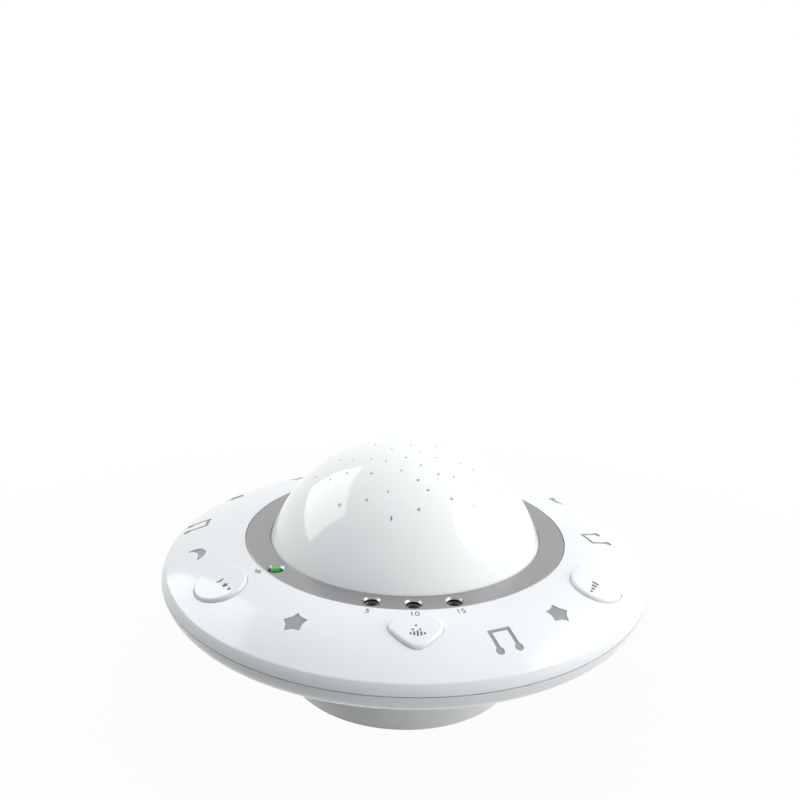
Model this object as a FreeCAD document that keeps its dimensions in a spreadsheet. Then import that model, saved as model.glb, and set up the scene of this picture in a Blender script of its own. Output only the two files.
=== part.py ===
import FreeCAD, Part
import math
import os
import re
import Sketcher

# Star night light projector: a flying-saucer casing on a round foot, with a milky projection dome
# on top, a silver trim ring round the dome, two press pads, a microphone pad and four indicator lamps.
# Lengths are millimetres and angles are degrees. Z points up, Z = 0 is the table under the rubber feet,
# and the front of the lamp faces -Y. A bearing is an angle about Z, counted from the front towards +X.

SIZES = {
    # Saucer outline
    "body_radius": 95.0,
    "parting_height": 47.0,
    "parting_gap": 0.4,
    "parting_depth": 0.8,
    "deck_rise": 12.55,
    "deck_curve": 65.0,
    "deck_fall_width": 34.4,
    "crease_inset": 1.6,
    "rim_band_curve": 8.0,
    "crease_round": 1.2,
    "shell_wall": 2.3,
    # Lower dish and foot
    "rim_round": 8.5,
    "dish_flat_width": 2.8,
    "dish_depth": 17.7,
    "foot_flare": 6.5,
    "foot_margin": 19.0,
    "foot_side_curve": 60.0,
    "foot_edge_round": 1.3,
    "foot_neck_round": 3.0,
    "foot_bottom": 0.5,
    # Dome
    "dome_inset": 7.1,
    "dome_center_drop": 16.1,
    "dome_wall": 2.0,
    "dome_flange_inset": 4.4,
    "flange_thickness": 1.6,
    "pinhole_radius": 0.6,
    # Trim ring round the dome
    "deck_width": 32.2,
    "bezel_width": 9.3,
    "bezel_lean": 0.35,
    "bezel_seat_rise": 11.0,
    "bezel_edge_thickness": 1.5,
    "bezel_inner_thickness": 1.6,
    "bezel_edge_round": 0.4,
    "well_radius": 3.3,
    "well_depth": 0.6,
    "seat_clearance": 0.15,
    # Ledge in the upper shell that carries the dome and the trim ring
    "ledge_width": 9.8,
    "ledge_outer_inset": 1.3,
    "ledge_run_out": 3.2,
    # Indicator lamps
    "lamp_inset": 4.0,
    "lamp_pitch": 14.0,
    "voice_lamp_bearing": -56.0,
    "led_radius": 2.5,
    "led_flange_lip": 0.4,
    "led_flange_height": 1.0,
    "led_length": 8.6,
    "led_rise": 0.9,
    "voice_led_rise": 2.2,
    "led_lead_width": 0.5,
    "led_lead_pitch": 2.54,
    "led_hole_clearance": 0.3,
    # Press pads
    "pad_inset": 16.6,
    "pad_bearing": 60.0,
    "pad_half_width": 10.9,
    "pad_half_length": 9.3,
    "pad_rise": 1.3,
    "pad_gap": 0.15,
    "pad_round": 1.1,
    "pad_flange": 1.5,
    "pad_flange_thickness": 1.2,
    "pad_play": 0.3,
    "post_radius": 2.2,
    # Microphone pad: a shield shape, its tip towards the rim
    "mic_inset": 21.0,
    "mic_corner_radius": 4.6,
    "mic_shoulder_across": 4.6,
    "mic_shoulder_back": 1.4,
    "mic_tip_front": 3.4,
    "mic_back_curve": 25.0,
    "mic_side_curve": 18.0,
    "mic_hole_radius": 0.5,
    "mic_hole_pitch": 1.2,
    "mic_capsule_radius": 4.85,
    "mic_capsule_height": 5.0,
    "mic_boot_wall": 1.1,
    # Star, note and moon ornaments sunk in the deck
    "ornament_depth": 0.7,
    "inlay_thickness": 0.4,
    "star_radius": 4.4,
    "star_waist": 3.0,
    "note_width": 8.4,
    "note_length": 10.0,
    "note_stroke": 1.4,
    "note_head_radius": 1.5,
    "moon_radius": 5.2,
    "moon_bite_radius": 6.8,
    "moon_bite_offset": 4.7,
    # Control board
    "board_drop": 0.6,
    "board_thickness": 1.6,
    "board_inner_inset": 41.0,
    "board_outer_inset": 9.0,
    "board_half_angle": 72.0,
    "board_screw_near_inset": 33.0,
    "board_screw_near_bearing": 43.0,
    "board_screw_far_inset": 15.0,
    "board_screw_far_bearing": 16.0,
    "board_boss_radius": 2.8,
    "board_screw_radius": 1.1,
    "board_screw_head": 2.0,
    "board_screw_depth": 5.0,
    "screw_head_height": 1.3,
    "screw_end_gap": 0.4,
    "boss_roof": 1.0,
    "fuse_overlap": 0.2,
    "chip_length": 10.0,
    "chip_width": 7.5,
    "chip_height": 1.8,
    "chip_inset": 21.0,
    "chip_bearing": 48.0,
    "capacitor_radius": 2.5,
    "capacitor_height": 7.0,
    "capacitor_inset": 19.0,
    "capacitor_bearing": 42.0,
    "capacitor_spread": 4.0,
    # Tact switches under the press pads
    "switch_width": 6.0,
    "switch_height": 3.5,
    "plunger_radius": 1.75,
    "plunger_rise": 1.5,
    "plunger_depth": 1.0,
    "plunger_clearance": 0.08,
    "plunger_travel": 0.6,
    # Screws that join the two shells
    "case_screw_inset": 25.0,
    "case_screw_first": 30.0,
    "case_screw_pitch": 60.0,
    "case_boss_radius": 3.5,
    "case_column_radius": 4.5,
    "case_column_rise": 0.5,
    "case_bore_radius": 3.2,
    "case_head_drop": 6.0,
    "case_screw_radius": 1.5,
    "case_screw_head": 2.8,
    "case_screw_head_height": 2.0,
    "case_screw_length": 13.0,
    "screw_hole_clearance": 0.2,
    "column_clearance": 0.5,
    "cross_slot_width": 0.8,
    "cross_slot_depth": 0.9,
    # Reflector tray and lamp board under the dome
    "tray_wall": 1.5,
    "tray_rim_inner_inset": 12.3,
    "tray_rim_outer_inset": 7.4,
    "tray_floor_radius": 20.0,
    "tray_floor_drop": 4.5,
    "tray_ear_radius": 3.2,
    "tray_screw_inset": 2.8,
    "tray_screw_depth": 2.6,
    "lamp_board_radius": 17.0,
    "lamp_screw_circle": 12.5,
    "lamp_boss_height": 4.0,
    "lamp_boss_drop": 3.5,
    "lamp_led_circle": 6.5,
    "lamp_led_radius": 3.0,
    "lamp_led_height": 6.0,
    # Speaker in the back of the dish
    "speaker_inset": 24.0,
    "speaker_radius": 14.0,
    "speaker_seat_drop": 7.5,
    "speaker_rim_height": 1.2,
    "speaker_frame_height": 4.0,
    "speaker_wall": 0.8,
    "speaker_cone_thickness": 0.5,
    "speaker_magnet_radius": 8.0,
    "speaker_magnet_height": 5.0,
    "speaker_ring_wall": 1.8,
    "speaker_ring_lip": 2.0,
    "speaker_land": 1.6,
    "speaker_slot_width": 2.0,
    "speaker_slot_pitch": 4.2,
    "speaker_slot_end": 1.0,
    # Battery bay, for three AA cells side by side
    "cell_radius": 7.1,
    "cell_length": 49.3,
    "cell_nub_radius": 2.7,
    "cell_nub_length": 1.0,
    "cell_gap": 1.1,
    "cell_lift": 0.2,
    "bay_side_gap": 1.2,
    "spring_reach": 2.7,
    "bay_shift": 1.0,
    "bay_roof_gap": 0.3,
    "bay_wall": 1.8,
    "contact_thickness": 0.5,
    "contact_width": 8.0,
    "spring_radius": 3.4,
    "spring_tip_radius": 2.4,
    "spring_wire": 0.7,
    # Battery door and its screw
    "door_side_lap": 1.7,
    "door_front_lap": 1.8,
    "door_back_lap": 8.0,
    "door_corner": 6.0,
    "door_gap": 0.3,
    "door_screw_inset": 4.0,
    "door_boss_radius": 3.4,
    "door_boss_rise": 8.7,
    "door_screw_length": 8.0,
    "door_screw_clearance": 0.06,
    "door_head_radius": 2.8,
    "door_head_height": 1.1,
    # Power switch in the foot
    "power_offset": 10.9,
    "power_body_width": 6.0,
    "power_body_length": 12.0,
    "power_body_height": 5.0,
    "power_wall": 0.8,
    "power_knob_width": 2.6,
    "power_knob_length": 3.6,
    "power_knob_bottom": 1.0,
    "power_travel": 3.0,
    "power_gap": 0.3,
    "power_recess_length": 14.0,
    "power_recess_width": 7.0,
    "power_recess_depth": 1.0,
    # Rubber feet
    "foot_pad_inset": 7.7,
    "foot_pad_bearing": 55.0,
    "foot_pad_radius": 3.5,
    "foot_pad_recess": 0.8,
}

# Sizes that follow from the ones above, so that pieces that belong together move together
PLACES = {
    # Radii of the saucer's rings, all counted inwards from the rim
    "crease_radius": "body_radius - crease_inset",
    "deck_crown_radius": "body_radius - deck_fall_width",
    "bezel_radius": "body_radius - deck_width",
    "bezel_opening": "bezel_radius - bezel_width",
    "dome_radius": "bezel_radius - dome_inset",
    "dome_flange_radius": "bezel_radius - dome_flange_inset",
    "dome_opening": "bezel_radius - ledge_width",
    "ledge_outer_radius": "bezel_radius - ledge_outer_inset",
    "lamp_circle": "bezel_radius - lamp_inset",
    "tray_rim_inner": "bezel_radius - tray_rim_inner_inset",
    "tray_rim_outer": "bezel_radius - tray_rim_outer_inset",
    "tray_screw_circle": "bezel_radius - tray_screw_inset",
    "pad_circle": "body_radius - pad_inset",
    "mic_circle": "body_radius - mic_inset",
    "board_inner_radius": "body_radius - board_inner_inset",
    "board_outer_radius": "body_radius - board_outer_inset",
    "board_screw_near_circle": "body_radius - board_screw_near_inset",
    "board_screw_far_circle": "body_radius - board_screw_far_inset",
    "chip_circle": "body_radius - chip_inset",
    "capacitor_circle": "body_radius - capacitor_inset",
    "case_screw_circle": "body_radius - case_screw_inset",
    "speaker_circle": "body_radius - speaker_inset",
    "led_flange_radius": "led_radius + led_flange_lip",
    # Heights, counted from the parting line between the two shells
    "deck_height": "parting_height + deck_rise",
    "bezel_seat_height": "parting_height + bezel_seat_rise",
    "bezel_edge_height": "bezel_seat_height + bezel_edge_thickness",
    "bezel_inner_height": "bezel_seat_height + bezel_inner_thickness",
    "dome_center_height": "bezel_seat_height - dome_center_drop",
    "led_top": "bezel_seat_height + led_rise",
    "voice_led_top": "bezel_seat_height + voice_led_rise",
    "board_top": "parting_height - board_drop",
    "case_column_top": "parting_height + case_column_rise",
    "case_head_seat": "parting_height - case_head_drop",
    "tray_floor_height": "parting_height - tray_floor_drop",
    "speaker_seat": "parting_height - speaker_seat_drop",
    "dish_bottom": "parting_height - dish_depth",
    # The battery bay grows with its cells, and the door and the foot with the bay
    "cell_pitch": "2 * cell_radius + cell_gap",
    "cell_center_height": "foot_bottom + shell_wall + cell_lift + cell_radius",
    "bay_roof": "cell_center_height + cell_radius + bay_roof_gap",
    "bay_half_width": "cell_pitch + cell_radius + bay_side_gap",
    "bay_length": "cell_length + cell_nub_length + spring_reach + 2 * contact_thickness",
    "bay_front": "bay_length / 2 + bay_shift",
    "bay_back": "bay_length / 2 - bay_shift",
    "door_half_width": "bay_half_width + door_side_lap",
    "door_front": "bay_front + door_front_lap",
    "door_back": "bay_back + door_back_lap",
    "door_screw_y": "bay_back + door_screw_inset",
    "door_boss_top": "foot_bottom + shell_wall + door_boss_rise",
    "power_x": "bay_half_width + power_offset",
    "foot_base_radius": "bay_front + foot_margin",
    "foot_top_radius": "foot_base_radius + foot_flare",
    "dish_flat_radius": "foot_top_radius + foot_neck_round + dish_flat_width",
    "foot_pad_circle": "foot_base_radius - foot_pad_inset",
}

doc = FreeCAD.newDocument("star_night_light_projector")
sheet = doc.addObject("Spreadsheet::Sheet", "Sizes")
for row, (alias, size) in enumerate((SIZES | PLACES).items(), start=1):
    sheet.set(f"A{row}", alias)
    sheet.set(f"B{row}", f"={size}")
    sheet.setAlias(f"B{row}", alias)
doc.recompute()

VECTOR = FreeCAD.Vector
UPRIGHT = VECTOR(0, 0, 1)


# Formulas: plain text in the names above, bound to the sheet

def formula(text):
    """Write a size name as its cell in the sheet, and leave functions and numbers as they are."""
    return re.sub(r"[A-Za-z_]\w*", lambda word: f"Sizes.{word[0]}" if word[0] in SIZES | PLACES else word[0], text)


def value(text):
    """The number that a formula gives now."""
    result = sheet.evalExpression(formula(text))
    return float(getattr(result, "Value", result))


def bind(item, path, text):
    item.setExpression(path, formula(text))


def place(item, x="0", y="0", z="0", turn="0"):
    """Stand an object at a point, turned about its own Z axis."""
    item.Placement = FreeCAD.Placement(VECTOR(value(x), value(y), value(z)),
                                       FreeCAD.Rotation(UPRIGHT, value(turn)))
    bind(item, ".Placement.Base.x", x)
    bind(item, ".Placement.Base.y", y)
    bind(item, ".Placement.Base.z", z)
    if turn != "0":
        bind(item, ".Placement.Rotation.Angle", turn)
    return item


def at_bearing(item, circle, bearing, z="0"):
    """Stand an object on a circle about the lamp's axis, its own -Y side facing outwards."""
    return place(item, f"({circle}) * sin({bearing})", f"-({circle}) * cos({bearing})", z, bearing)


# Sketches and the features made from them

def origin_plane(body, role):
    return next(item for item in body.Origin.OriginFeatures if item.Role == role)


def sketch(body, name, role, level="0"):
    """A sketch on an origin plane of its body, raised by the level."""
    item = body.newObject("Sketcher::SketchObject", name)
    item.AttachmentSupport = (origin_plane(body, role), [""])
    item.MapMode = "FlatFace"
    item.AttachmentOffset = FreeCAD.Placement(VECTOR(0, 0, value(level)), FreeCAD.Rotation())
    bind(item, ".AttachmentOffset.Base.z", level)
    return item


def hold(item, constraint, number, text):
    """Add a dimension to a sketch and bind it to its formula."""
    index = item.addConstraint(Sketcher.Constraint(*constraint, number))
    bind(item, f"Constraints[{index}]", text)


def arc_between(start, end, radius):
    """Arc from start to end: centre on the left of the way there, or on the right if radius is negative."""
    across, up = end[0] - start[0], end[1] - start[1]
    chord = math.hypot(across, up)
    reach = math.copysign(math.sqrt(max(radius * radius - chord * chord / 4, 0.0)), radius)
    center = ((start[0] + end[0]) / 2 - up / chord * reach, (start[1] + end[1]) / 2 + across / chord * reach)
    first, last = (start, end) if radius > 0 else (end, start)
    angles = [math.atan2(point[1] - center[1], point[0] - center[0]) for point in (first, last)]
    return Part.ArcOfCircle(Part.Circle(VECTOR(*center, 0), UPRIGHT, abs(radius)), *angles)


def outline(item, points):
    """Closed outline. A point is (across, up), or (across, up, radius) where an arc leads to the next one."""
    places = [(value(point[0]), value(point[1])) for point in points]
    ends = []
    for index, point in enumerate(points):
        start, end = places[index], places[(index + 1) % len(points)]
        if len(point) == 2:
            line = Part.LineSegment(VECTOR(*start, 0), VECTOR(*end, 0))
            ends.append((item.addGeometry(line, False), 1, 2))
            continue
        radius = value(point[2])
        edge = item.addGeometry(arc_between(start, end, radius), False)
        ends.append((edge, 1, 2) if radius > 0 else (edge, 2, 1))
        sign = "" if radius > 0 else "-1 * "
        hold(item, ("Radius", edge), abs(radius), f"{sign}({point[2]})")
    for index, point in enumerate(points):
        edge, first, _ = ends[index]
        before, _, last = ends[index - 1]
        item.addConstraint(Sketcher.Constraint("Coincident", before, last, edge, first))
        hold(item, ("DistanceX", -1, 1, edge, first), places[index][0], point[0])
        hold(item, ("DistanceY", -1, 1, edge, first), places[index][1], point[1])


def circle(item, x, y, radius):
    """Full circle in a sketch."""
    ring = Part.Circle(VECTOR(value(x), value(y), 0), UPRIGHT, value(radius))
    edge = item.addGeometry(ring, False)
    hold(item, ("DistanceX", -1, 1, edge, 3), value(x), x)
    hold(item, ("DistanceY", -1, 1, edge, 3), value(y), y)
    hold(item, ("Radius", edge), value(radius), radius)


def turned(name, points):
    """Body of revolution about the lamp's axis, from an outline of (radius, height) points."""
    body = doc.addObject("PartDesign::Body", name)
    profile = sketch(body, f"{name}_profile", "XZ_Plane")
    outline(profile, points)
    solid = body.newObject("PartDesign::Revolution", f"{name}_revolution")
    solid.Profile = profile
    solid.ReferenceAxis = (profile, ["V_Axis"])
    solid.Angle = 360
    body.Tip = solid
    return body


def padded(name, points, bottom, height):
    """Body padded upwards from a flat outline of (x, y) points."""
    body = doc.addObject("PartDesign::Body", name)
    profile = sketch(body, f"{name}_outline", "XY_Plane", bottom)
    outline(profile, points)
    solid = body.newObject("PartDesign::Pad", f"{name}_pad")
    solid.Profile = profile
    bind(solid, "Length", height)
    body.Tip = solid
    return body


def hole_pocket(body, name, holes):
    """Cut round holes, given as (x, y, radius), right through a body."""
    plan = sketch(body, f"{name}_plan", "XY_Plane")
    for x, y, radius in holes:
        circle(plan, x, y, radius)
    pocket = body.newObject("PartDesign::Pocket", name)
    pocket.Profile = plan
    pocket.Type = "ThroughAll"
    pocket.Midplane = True
    body.Tip = pocket
    return body


# Part primitives and booleans

def cylinder(name, radius, height, x="0", y="0", z="0"):
    item = doc.addObject("Part::Cylinder", name)
    bind(item, "Radius", radius)
    bind(item, "Height", height)
    return place(item, x, y, z)


def cone(name, low_radius, high_radius, height, x="0", y="0", z="0"):
    item = doc.addObject("Part::Cone", name)
    bind(item, "Radius1", low_radius)
    bind(item, "Radius2", high_radius)
    bind(item, "Height", height)
    return place(item, x, y, z)


def block(name, length, width, height, x="0", y="0", z="0"):
    """Box whose base is centred on x and y, with its bottom at z."""
    item = doc.addObject("Part::Box", name)
    bind(item, "Length", length)
    bind(item, "Width", width)
    bind(item, "Height", height)
    return place(item, f"({x}) - ({length}) / 2", f"({y}) - ({width}) / 2", z)


def cut(name, base, tool):
    item = doc.addObject("Part::Cut", name)
    item.Base = base
    item.Tool = tool
    return item


def common(name, base, tool):
    item = doc.addObject("Part::Common", name)
    item.Base = base
    item.Tool = tool
    return item


def fuse(name, pieces):
    item = doc.addObject("Part::MultiFuse", name)
    item.Shapes = pieces
    return item


def group(name, pieces):
    """Separate solids that share one node."""
    item = doc.addObject("Part::Compound", name)
    item.Links = pieces
    return item


def extrude(name, base, height):
    item = doc.addObject("Part::Extrusion", name)
    item.Base = base
    item.DirMode = "Custom"
    item.Dir = UPRIGHT
    item.Solid = True
    bind(item, "LengthFwd", height)
    return item


def rounded(name, base, test, radius):
    """Fillet the edges of a finished solid whose middle passes the test."""
    doc.recompute()
    numbers = [number for number, edge in enumerate(base.Shape.Edges, start=1) if test(edge)]
    item = doc.addObject("Part::Fillet", name)
    item.Base = base
    item.Edges = [(number, value(radius), value(radius)) for number in numbers]
    doc.recompute()
    return item


PIECES = []


def piece(label, item):
    """Name a finished piece of the lamp. The label is also the name of its file."""
    item.Label = label
    PIECES.append(item)
    return item


# Shared surfaces

def deck(radius, shift="0"):
    """Height of the saucer's curved deck at a radius, moved straight up by the shift."""
    return f"(deck_height - deck_curve + sqrt(deck_curve^2 - (({radius}) - deck_crown_radius)^2) + ({shift}))"


def dome_reach(height, inset="0"):
    """Radius of the dome at a height."""
    return f"sqrt((dome_radius - ({inset}))^2 - (({height}) - dome_center_height)^2)"


DECK_START = "bezel_radius + seat_clearance"
BAND_START = "bezel_radius + ledge_run_out"
BAND_END = "crease_radius - crease_round"
LEDGE_TOP = "(bezel_seat_height - flange_thickness)"
LEDGE_BOTTOM = f"({LEDGE_TOP} - shell_wall)"
FLOOR = "(foot_bottom + shell_wall)"
LAMP_BEARINGS = {
    "timer_lamp_left": "-lamp_pitch",
    "timer_lamp_middle": "0",
    "timer_lamp_right": "lamp_pitch",
    "voice_lamp": "voice_lamp_bearing",
}
CASE_BEARINGS = [f"case_screw_first + case_screw_pitch * {turn}" for turn in range(6)]


def deck_band(name, low, high):
    """Ring that follows the deck on both its faces."""
    return turned(name, [
        (BAND_START, deck(BAND_START, low), "-deck_curve"),
        (BAND_END, deck(BAND_END, low)),
        (BAND_END, deck(BAND_END, high), "deck_curve"),
        (BAND_START, deck(BAND_START, high)),
    ])


# Outlines of the pads and ornaments, in a frame whose -Y side faces the rim

def flat_sketch(name):
    return doc.addObject("Sketcher::SketchObject", name)


def oval(name, grow="0"):
    """Ellipse of a press pad, larger all round by the growth."""
    item = doc.addObject("Part::Ellipse", name)
    bind(item, "MajorRadius", f"pad_half_width + ({grow})")
    bind(item, "MinorRadius", f"pad_half_length + ({grow})")
    return item


def shield(name, grow="0"):
    """Outline of the microphone pad, a bowed triangle with round corners, larger all round by the growth."""
    core = flat_sketch(f"{name}_core")
    outline(core, [
        ("mic_shoulder_across", "mic_shoulder_back", "mic_back_curve"),
        ("-mic_shoulder_across", "mic_shoulder_back", "mic_side_curve"),
        ("0", "-mic_tip_front", "mic_side_curve"),
    ])
    item = doc.addObject("Part::Offset2D", name)
    item.Source = core
    item.Join = "Arc"
    bind(item, "Value", f"mic_corner_radius + ({grow})")
    return item


STAR_TIPS = 5


def star(name):
    """Star with one tip along +X."""
    item = flat_sketch(name)
    corners = [(("star_radius", "star_waist")[turn % 2], 180 / STAR_TIPS * turn) for turn in range(2 * STAR_TIPS)]
    outline(item, [(f"{reach} * cos({angle})", f"{reach} * sin({angle})") for reach, angle in corners])
    return item


def note(name):
    """Pair of beamed quavers in outline, the round heads towards the rim."""
    item = flat_sketch(name)
    side, top, low = "note_width / 2", "note_length / 2", "-note_length / 2"
    inner, stem, head = "(note_width / 2 - note_stroke)", "(note_width / 2 - note_stroke / 2)", "note_head_radius"
    neck = f"{low} + {head} + sqrt({head}^2 - (note_stroke / 2)^2)"
    outline(item, [
        (f"-({side})", top),
        (f"-({side})", neck, head),
        (f"-{stem}", low, head),
        (f"-{inner}", neck),
        (f"-{inner}", f"{top} - note_stroke"),
        (inner, f"{top} - note_stroke"),
        (inner, neck, head),
        (stem, low, head),
        (side, neck),
        (side, top),
    ])
    return item


def moon(name):
    """Crescent, open towards -Y."""
    item = flat_sketch(name)
    up = "((moon_bite_offset^2 + moon_bite_radius^2 - moon_radius^2) / (2 * moon_bite_offset))"
    reach = f"sqrt(moon_bite_radius^2 - {up}^2)"
    horn = f"{up} - moon_bite_offset"
    outline(item, [
        (reach, horn, "moon_radius"),
        ("0", "moon_radius", "moon_radius"),
        (f"-({reach})", horn, "-moon_bite_radius"),
    ])
    return item


# Ornaments on the deck: figure, its outline, bearing, distance in from the rim, and turn of the figure itself
ORNAMENTS = [
    ("star", star, -30.8, 17.0, 180),
    ("star", star, 39.2, 16.7, -6),
    ("star", star, -123.0, 8.4, 20),
    ("star", star, 168.0, 16.0, 160),
    ("note", note, 20.8, 13.4, 0),
    ("note", note, 89.3, 18.3, 27),
    ("note", note, -100.9, 8.8, 8),
    ("note", note, -168.0, 16.0, 12),
    ("moon", moon, -79.9, 11.8, 16),
    ("moon", moon, 120.0, 13.0, -20),
    ("moon", moon, -145.0, 14.0, 10),
    ("moon", moon, 145.0, 16.0, -12),
]


def ornament_prisms():
    """Tall prisms over the deck, one for each ornament, sorted by figure."""
    prisms = {"star": [], "note": [], "moon": []}
    for number, (figure, draw, bearing, inset, turn) in enumerate(ORNAMENTS, start=1):
        flat = draw(f"{figure}_outline_{number}")
        prism = extrude(f"{figure}_prism_{number}", flat, "deck_height")
        at_bearing(prism, f"body_radius - {inset}", str(bearing))
        bind(prism, ".Placement.Rotation.Angle", f"{bearing} + {turn}")
        prisms[figure].append(prism)
    return prisms


def pad_prism(name, flat, bearing, circle_name):
    """Tall prism over one pad's outline, standing at its bearing."""
    prism = extrude(name, flat, "deck_height + 2 * pad_rise")
    return at_bearing(prism, circle_name, bearing)


# Upper shell

def upper_shell(prisms):
    shell = turned("upper_blank", [
        ("dome_opening", LEDGE_BOTTOM),
        ("ledge_outer_radius", LEDGE_BOTTOM),
        (BAND_START, deck(BAND_START, "-shell_wall"), "-deck_curve"),
        (BAND_END, deck(BAND_END, "-shell_wall")),
        ("body_radius - shell_wall", "parting_height"),
        ("body_radius", "parting_height", "rim_band_curve"),
        ("crease_radius", deck("crease_radius"), "deck_curve"),
        (DECK_START, deck(DECK_START)),
        (DECK_START, "bezel_seat_height"),
        ("dome_flange_radius + seat_clearance", "bezel_seat_height"),
        ("dome_flange_radius + seat_clearance", LEDGE_TOP),
        ("dome_opening", LEDGE_TOP),
    ])
    crease = rounded("upper_rounded", shell, on_circle("crease_radius", deck("crease_radius")), "crease_round")
    bosses = []
    pilots = []
    for number, bearing in enumerate(CASE_BEARINGS, start=1):
        reach = f"{deck('case_screw_circle - case_boss_radius', '-shell_wall')} + fuse_overlap - case_column_top"
        boss = cylinder(f"case_boss_{number}", "case_boss_radius", reach)
        bosses.append(at_bearing(boss, "case_screw_circle", bearing, "case_column_top"))
        depth = "case_head_seat + case_screw_length + screw_end_gap - case_column_top"
        pilot = cylinder(f"case_pilot_{number}", "case_screw_radius", depth)
        pilots.append(at_bearing(pilot, "case_screw_circle", bearing, "case_column_top"))
    for number, (circle_name, bearing) in enumerate(board_screw_places(), start=1):
        reach = f"{deck(f'{circle_name} - board_boss_radius', '-shell_wall')} + fuse_overlap - board_top"
        boss = cylinder(f"board_boss_{number}", "board_boss_radius", reach)
        bosses.append(at_bearing(boss, circle_name, bearing, "board_top"))
        pilot = cylinder(f"board_pilot_{number}", "board_screw_radius", "board_screw_depth")
        pilots.append(at_bearing(pilot, circle_name, bearing, "board_top"))
    for number, bearing in enumerate(tray_screw_bearings(), start=1):
        pilot = cylinder(f"tray_pilot_{number}", "board_screw_radius", "tray_screw_depth")
        pilots.append(at_bearing(pilot, "tray_screw_circle", bearing, LEDGE_BOTTOM))
    for label, bearing in LAMP_BEARINGS.items():
        bore = cylinder(f"{label}_bore", "led_radius + led_hole_clearance", "4 * shell_wall")
        pilots.append(at_bearing(bore, "lamp_circle", bearing, f"{LEDGE_BOTTOM} - shell_wall"))
    openings = [
        pad_prism("mode_opening", oval("mode_opening_outline", "pad_gap"), "-pad_bearing", "pad_circle"),
        pad_prism("volume_opening", oval("volume_opening_outline", "pad_gap"), "pad_bearing", "pad_circle"),
        pad_prism("mic_opening", shield("mic_opening_outline", "seat_clearance"), "0", "mic_circle"),
    ]
    sinks = common("ornament_sinks", deck_band("sink_band", "-ornament_depth", "shell_wall"),
                   group("ornament_prisms", [prism for figure in prisms.values() for prism in figure]))
    solid = fuse("upper_solid", [crease] + bosses)
    bored = cut("upper_bored", solid, fuse("upper_bores", pilots))
    opened = cut("upper_opened", bored, group("pad_openings", openings))
    return piece("upper_shell", cut("upper_finished", opened, sinks))


def on_circle(radius, height):
    """Test for a round edge about the lamp's axis at a radius and height."""
    def test(edge):
        box = edge.BoundBox
        flat = box.ZLength < 0.01 and abs(box.ZMax - value(height)) < 0.05
        return flat and abs(box.XMax - value(radius)) < 0.05
    return test


def board_screw_places():
    return [
        ("board_screw_near_circle", "-board_screw_near_bearing"),
        ("board_screw_near_circle", "board_screw_near_bearing"),
        ("board_screw_far_circle", "-board_screw_far_bearing"),
        ("board_screw_far_circle", "board_screw_far_bearing"),
    ]


def tray_screw_bearings():
    return ["90", "180", "270"]


# Silver inlays in the sunk ornaments

def inlays(prisms):
    for figure, shapes in prisms.items():
        band = deck_band(f"{figure}_band", "-ornament_depth", "inlay_thickness - ornament_depth")
        stack = [common(f"{figure}_inlay_{number}", prism, band) for number, prism in enumerate(shapes, start=1)]
        piece(f"{figure}_inlays", group(f"{figure}_inlay_group", stack))


# Lower shell: dish, foot, battery bay, speaker seat and screw columns

DISH_RUN = "(body_radius - rim_round - dish_flat_radius)"
DISH_RISE = "(parting_height - dish_bottom)"
DISH_CURVE = f"(({DISH_RUN}^2 + {DISH_RISE}^2 - rim_round^2) / (2 * ({DISH_RISE} - rim_round)))"


def dish_joint(inset):
    """Point where the dish's two arcs meet, on the surface moved inwards by the inset."""
    share = f"(({DISH_CURVE} - ({inset})) / ({DISH_CURVE} - rim_round))"
    across = f"dish_flat_radius + {DISH_RUN} * {share}"
    up = f"dish_bottom + {DISH_CURVE} - ({DISH_CURVE} - {DISH_RISE}) * {share}"
    return across, up


def dish_profile(inset):
    """The dish's under side from the foot's neck to the rim, moved inwards by the inset."""
    return [
        ("dish_flat_radius", f"dish_bottom + ({inset})", f"{DISH_CURVE} - ({inset})"),
        (*dish_joint(inset), f"rim_round - ({inset})"),
    ]


def lower_blank():
    """Dish and foot in one, without any fittings."""
    wall = "shell_wall"
    return turned("lower_blank", [
        ("0", "foot_bottom"),
        ("foot_base_radius - foot_edge_round", "foot_bottom", "foot_edge_round"),
        ("foot_base_radius", "foot_bottom + foot_edge_round", "foot_side_curve"),
        ("foot_top_radius", "dish_bottom - foot_neck_round", "-foot_neck_round"),
        ("foot_top_radius + foot_neck_round", "dish_bottom"),
        *dish_profile("0"),
        ("body_radius", "parting_height - parting_gap"),
        ("body_radius - parting_depth", "parting_height - parting_gap"),
        ("body_radius - parting_depth", "parting_height"),
        (f"body_radius - {wall}", "parting_height", f"-(rim_round - {wall})"),
        (*dish_joint(wall), f"-({DISH_CURVE} - {wall})"),
        ("dish_flat_radius", f"dish_bottom + {wall}"),
        (f"foot_top_radius - {wall}", f"dish_bottom + {wall}", f"-(foot_side_curve - {wall})"),
        (f"foot_base_radius - {wall}", FLOOR),
        ("0", FLOOR),
    ])


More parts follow.
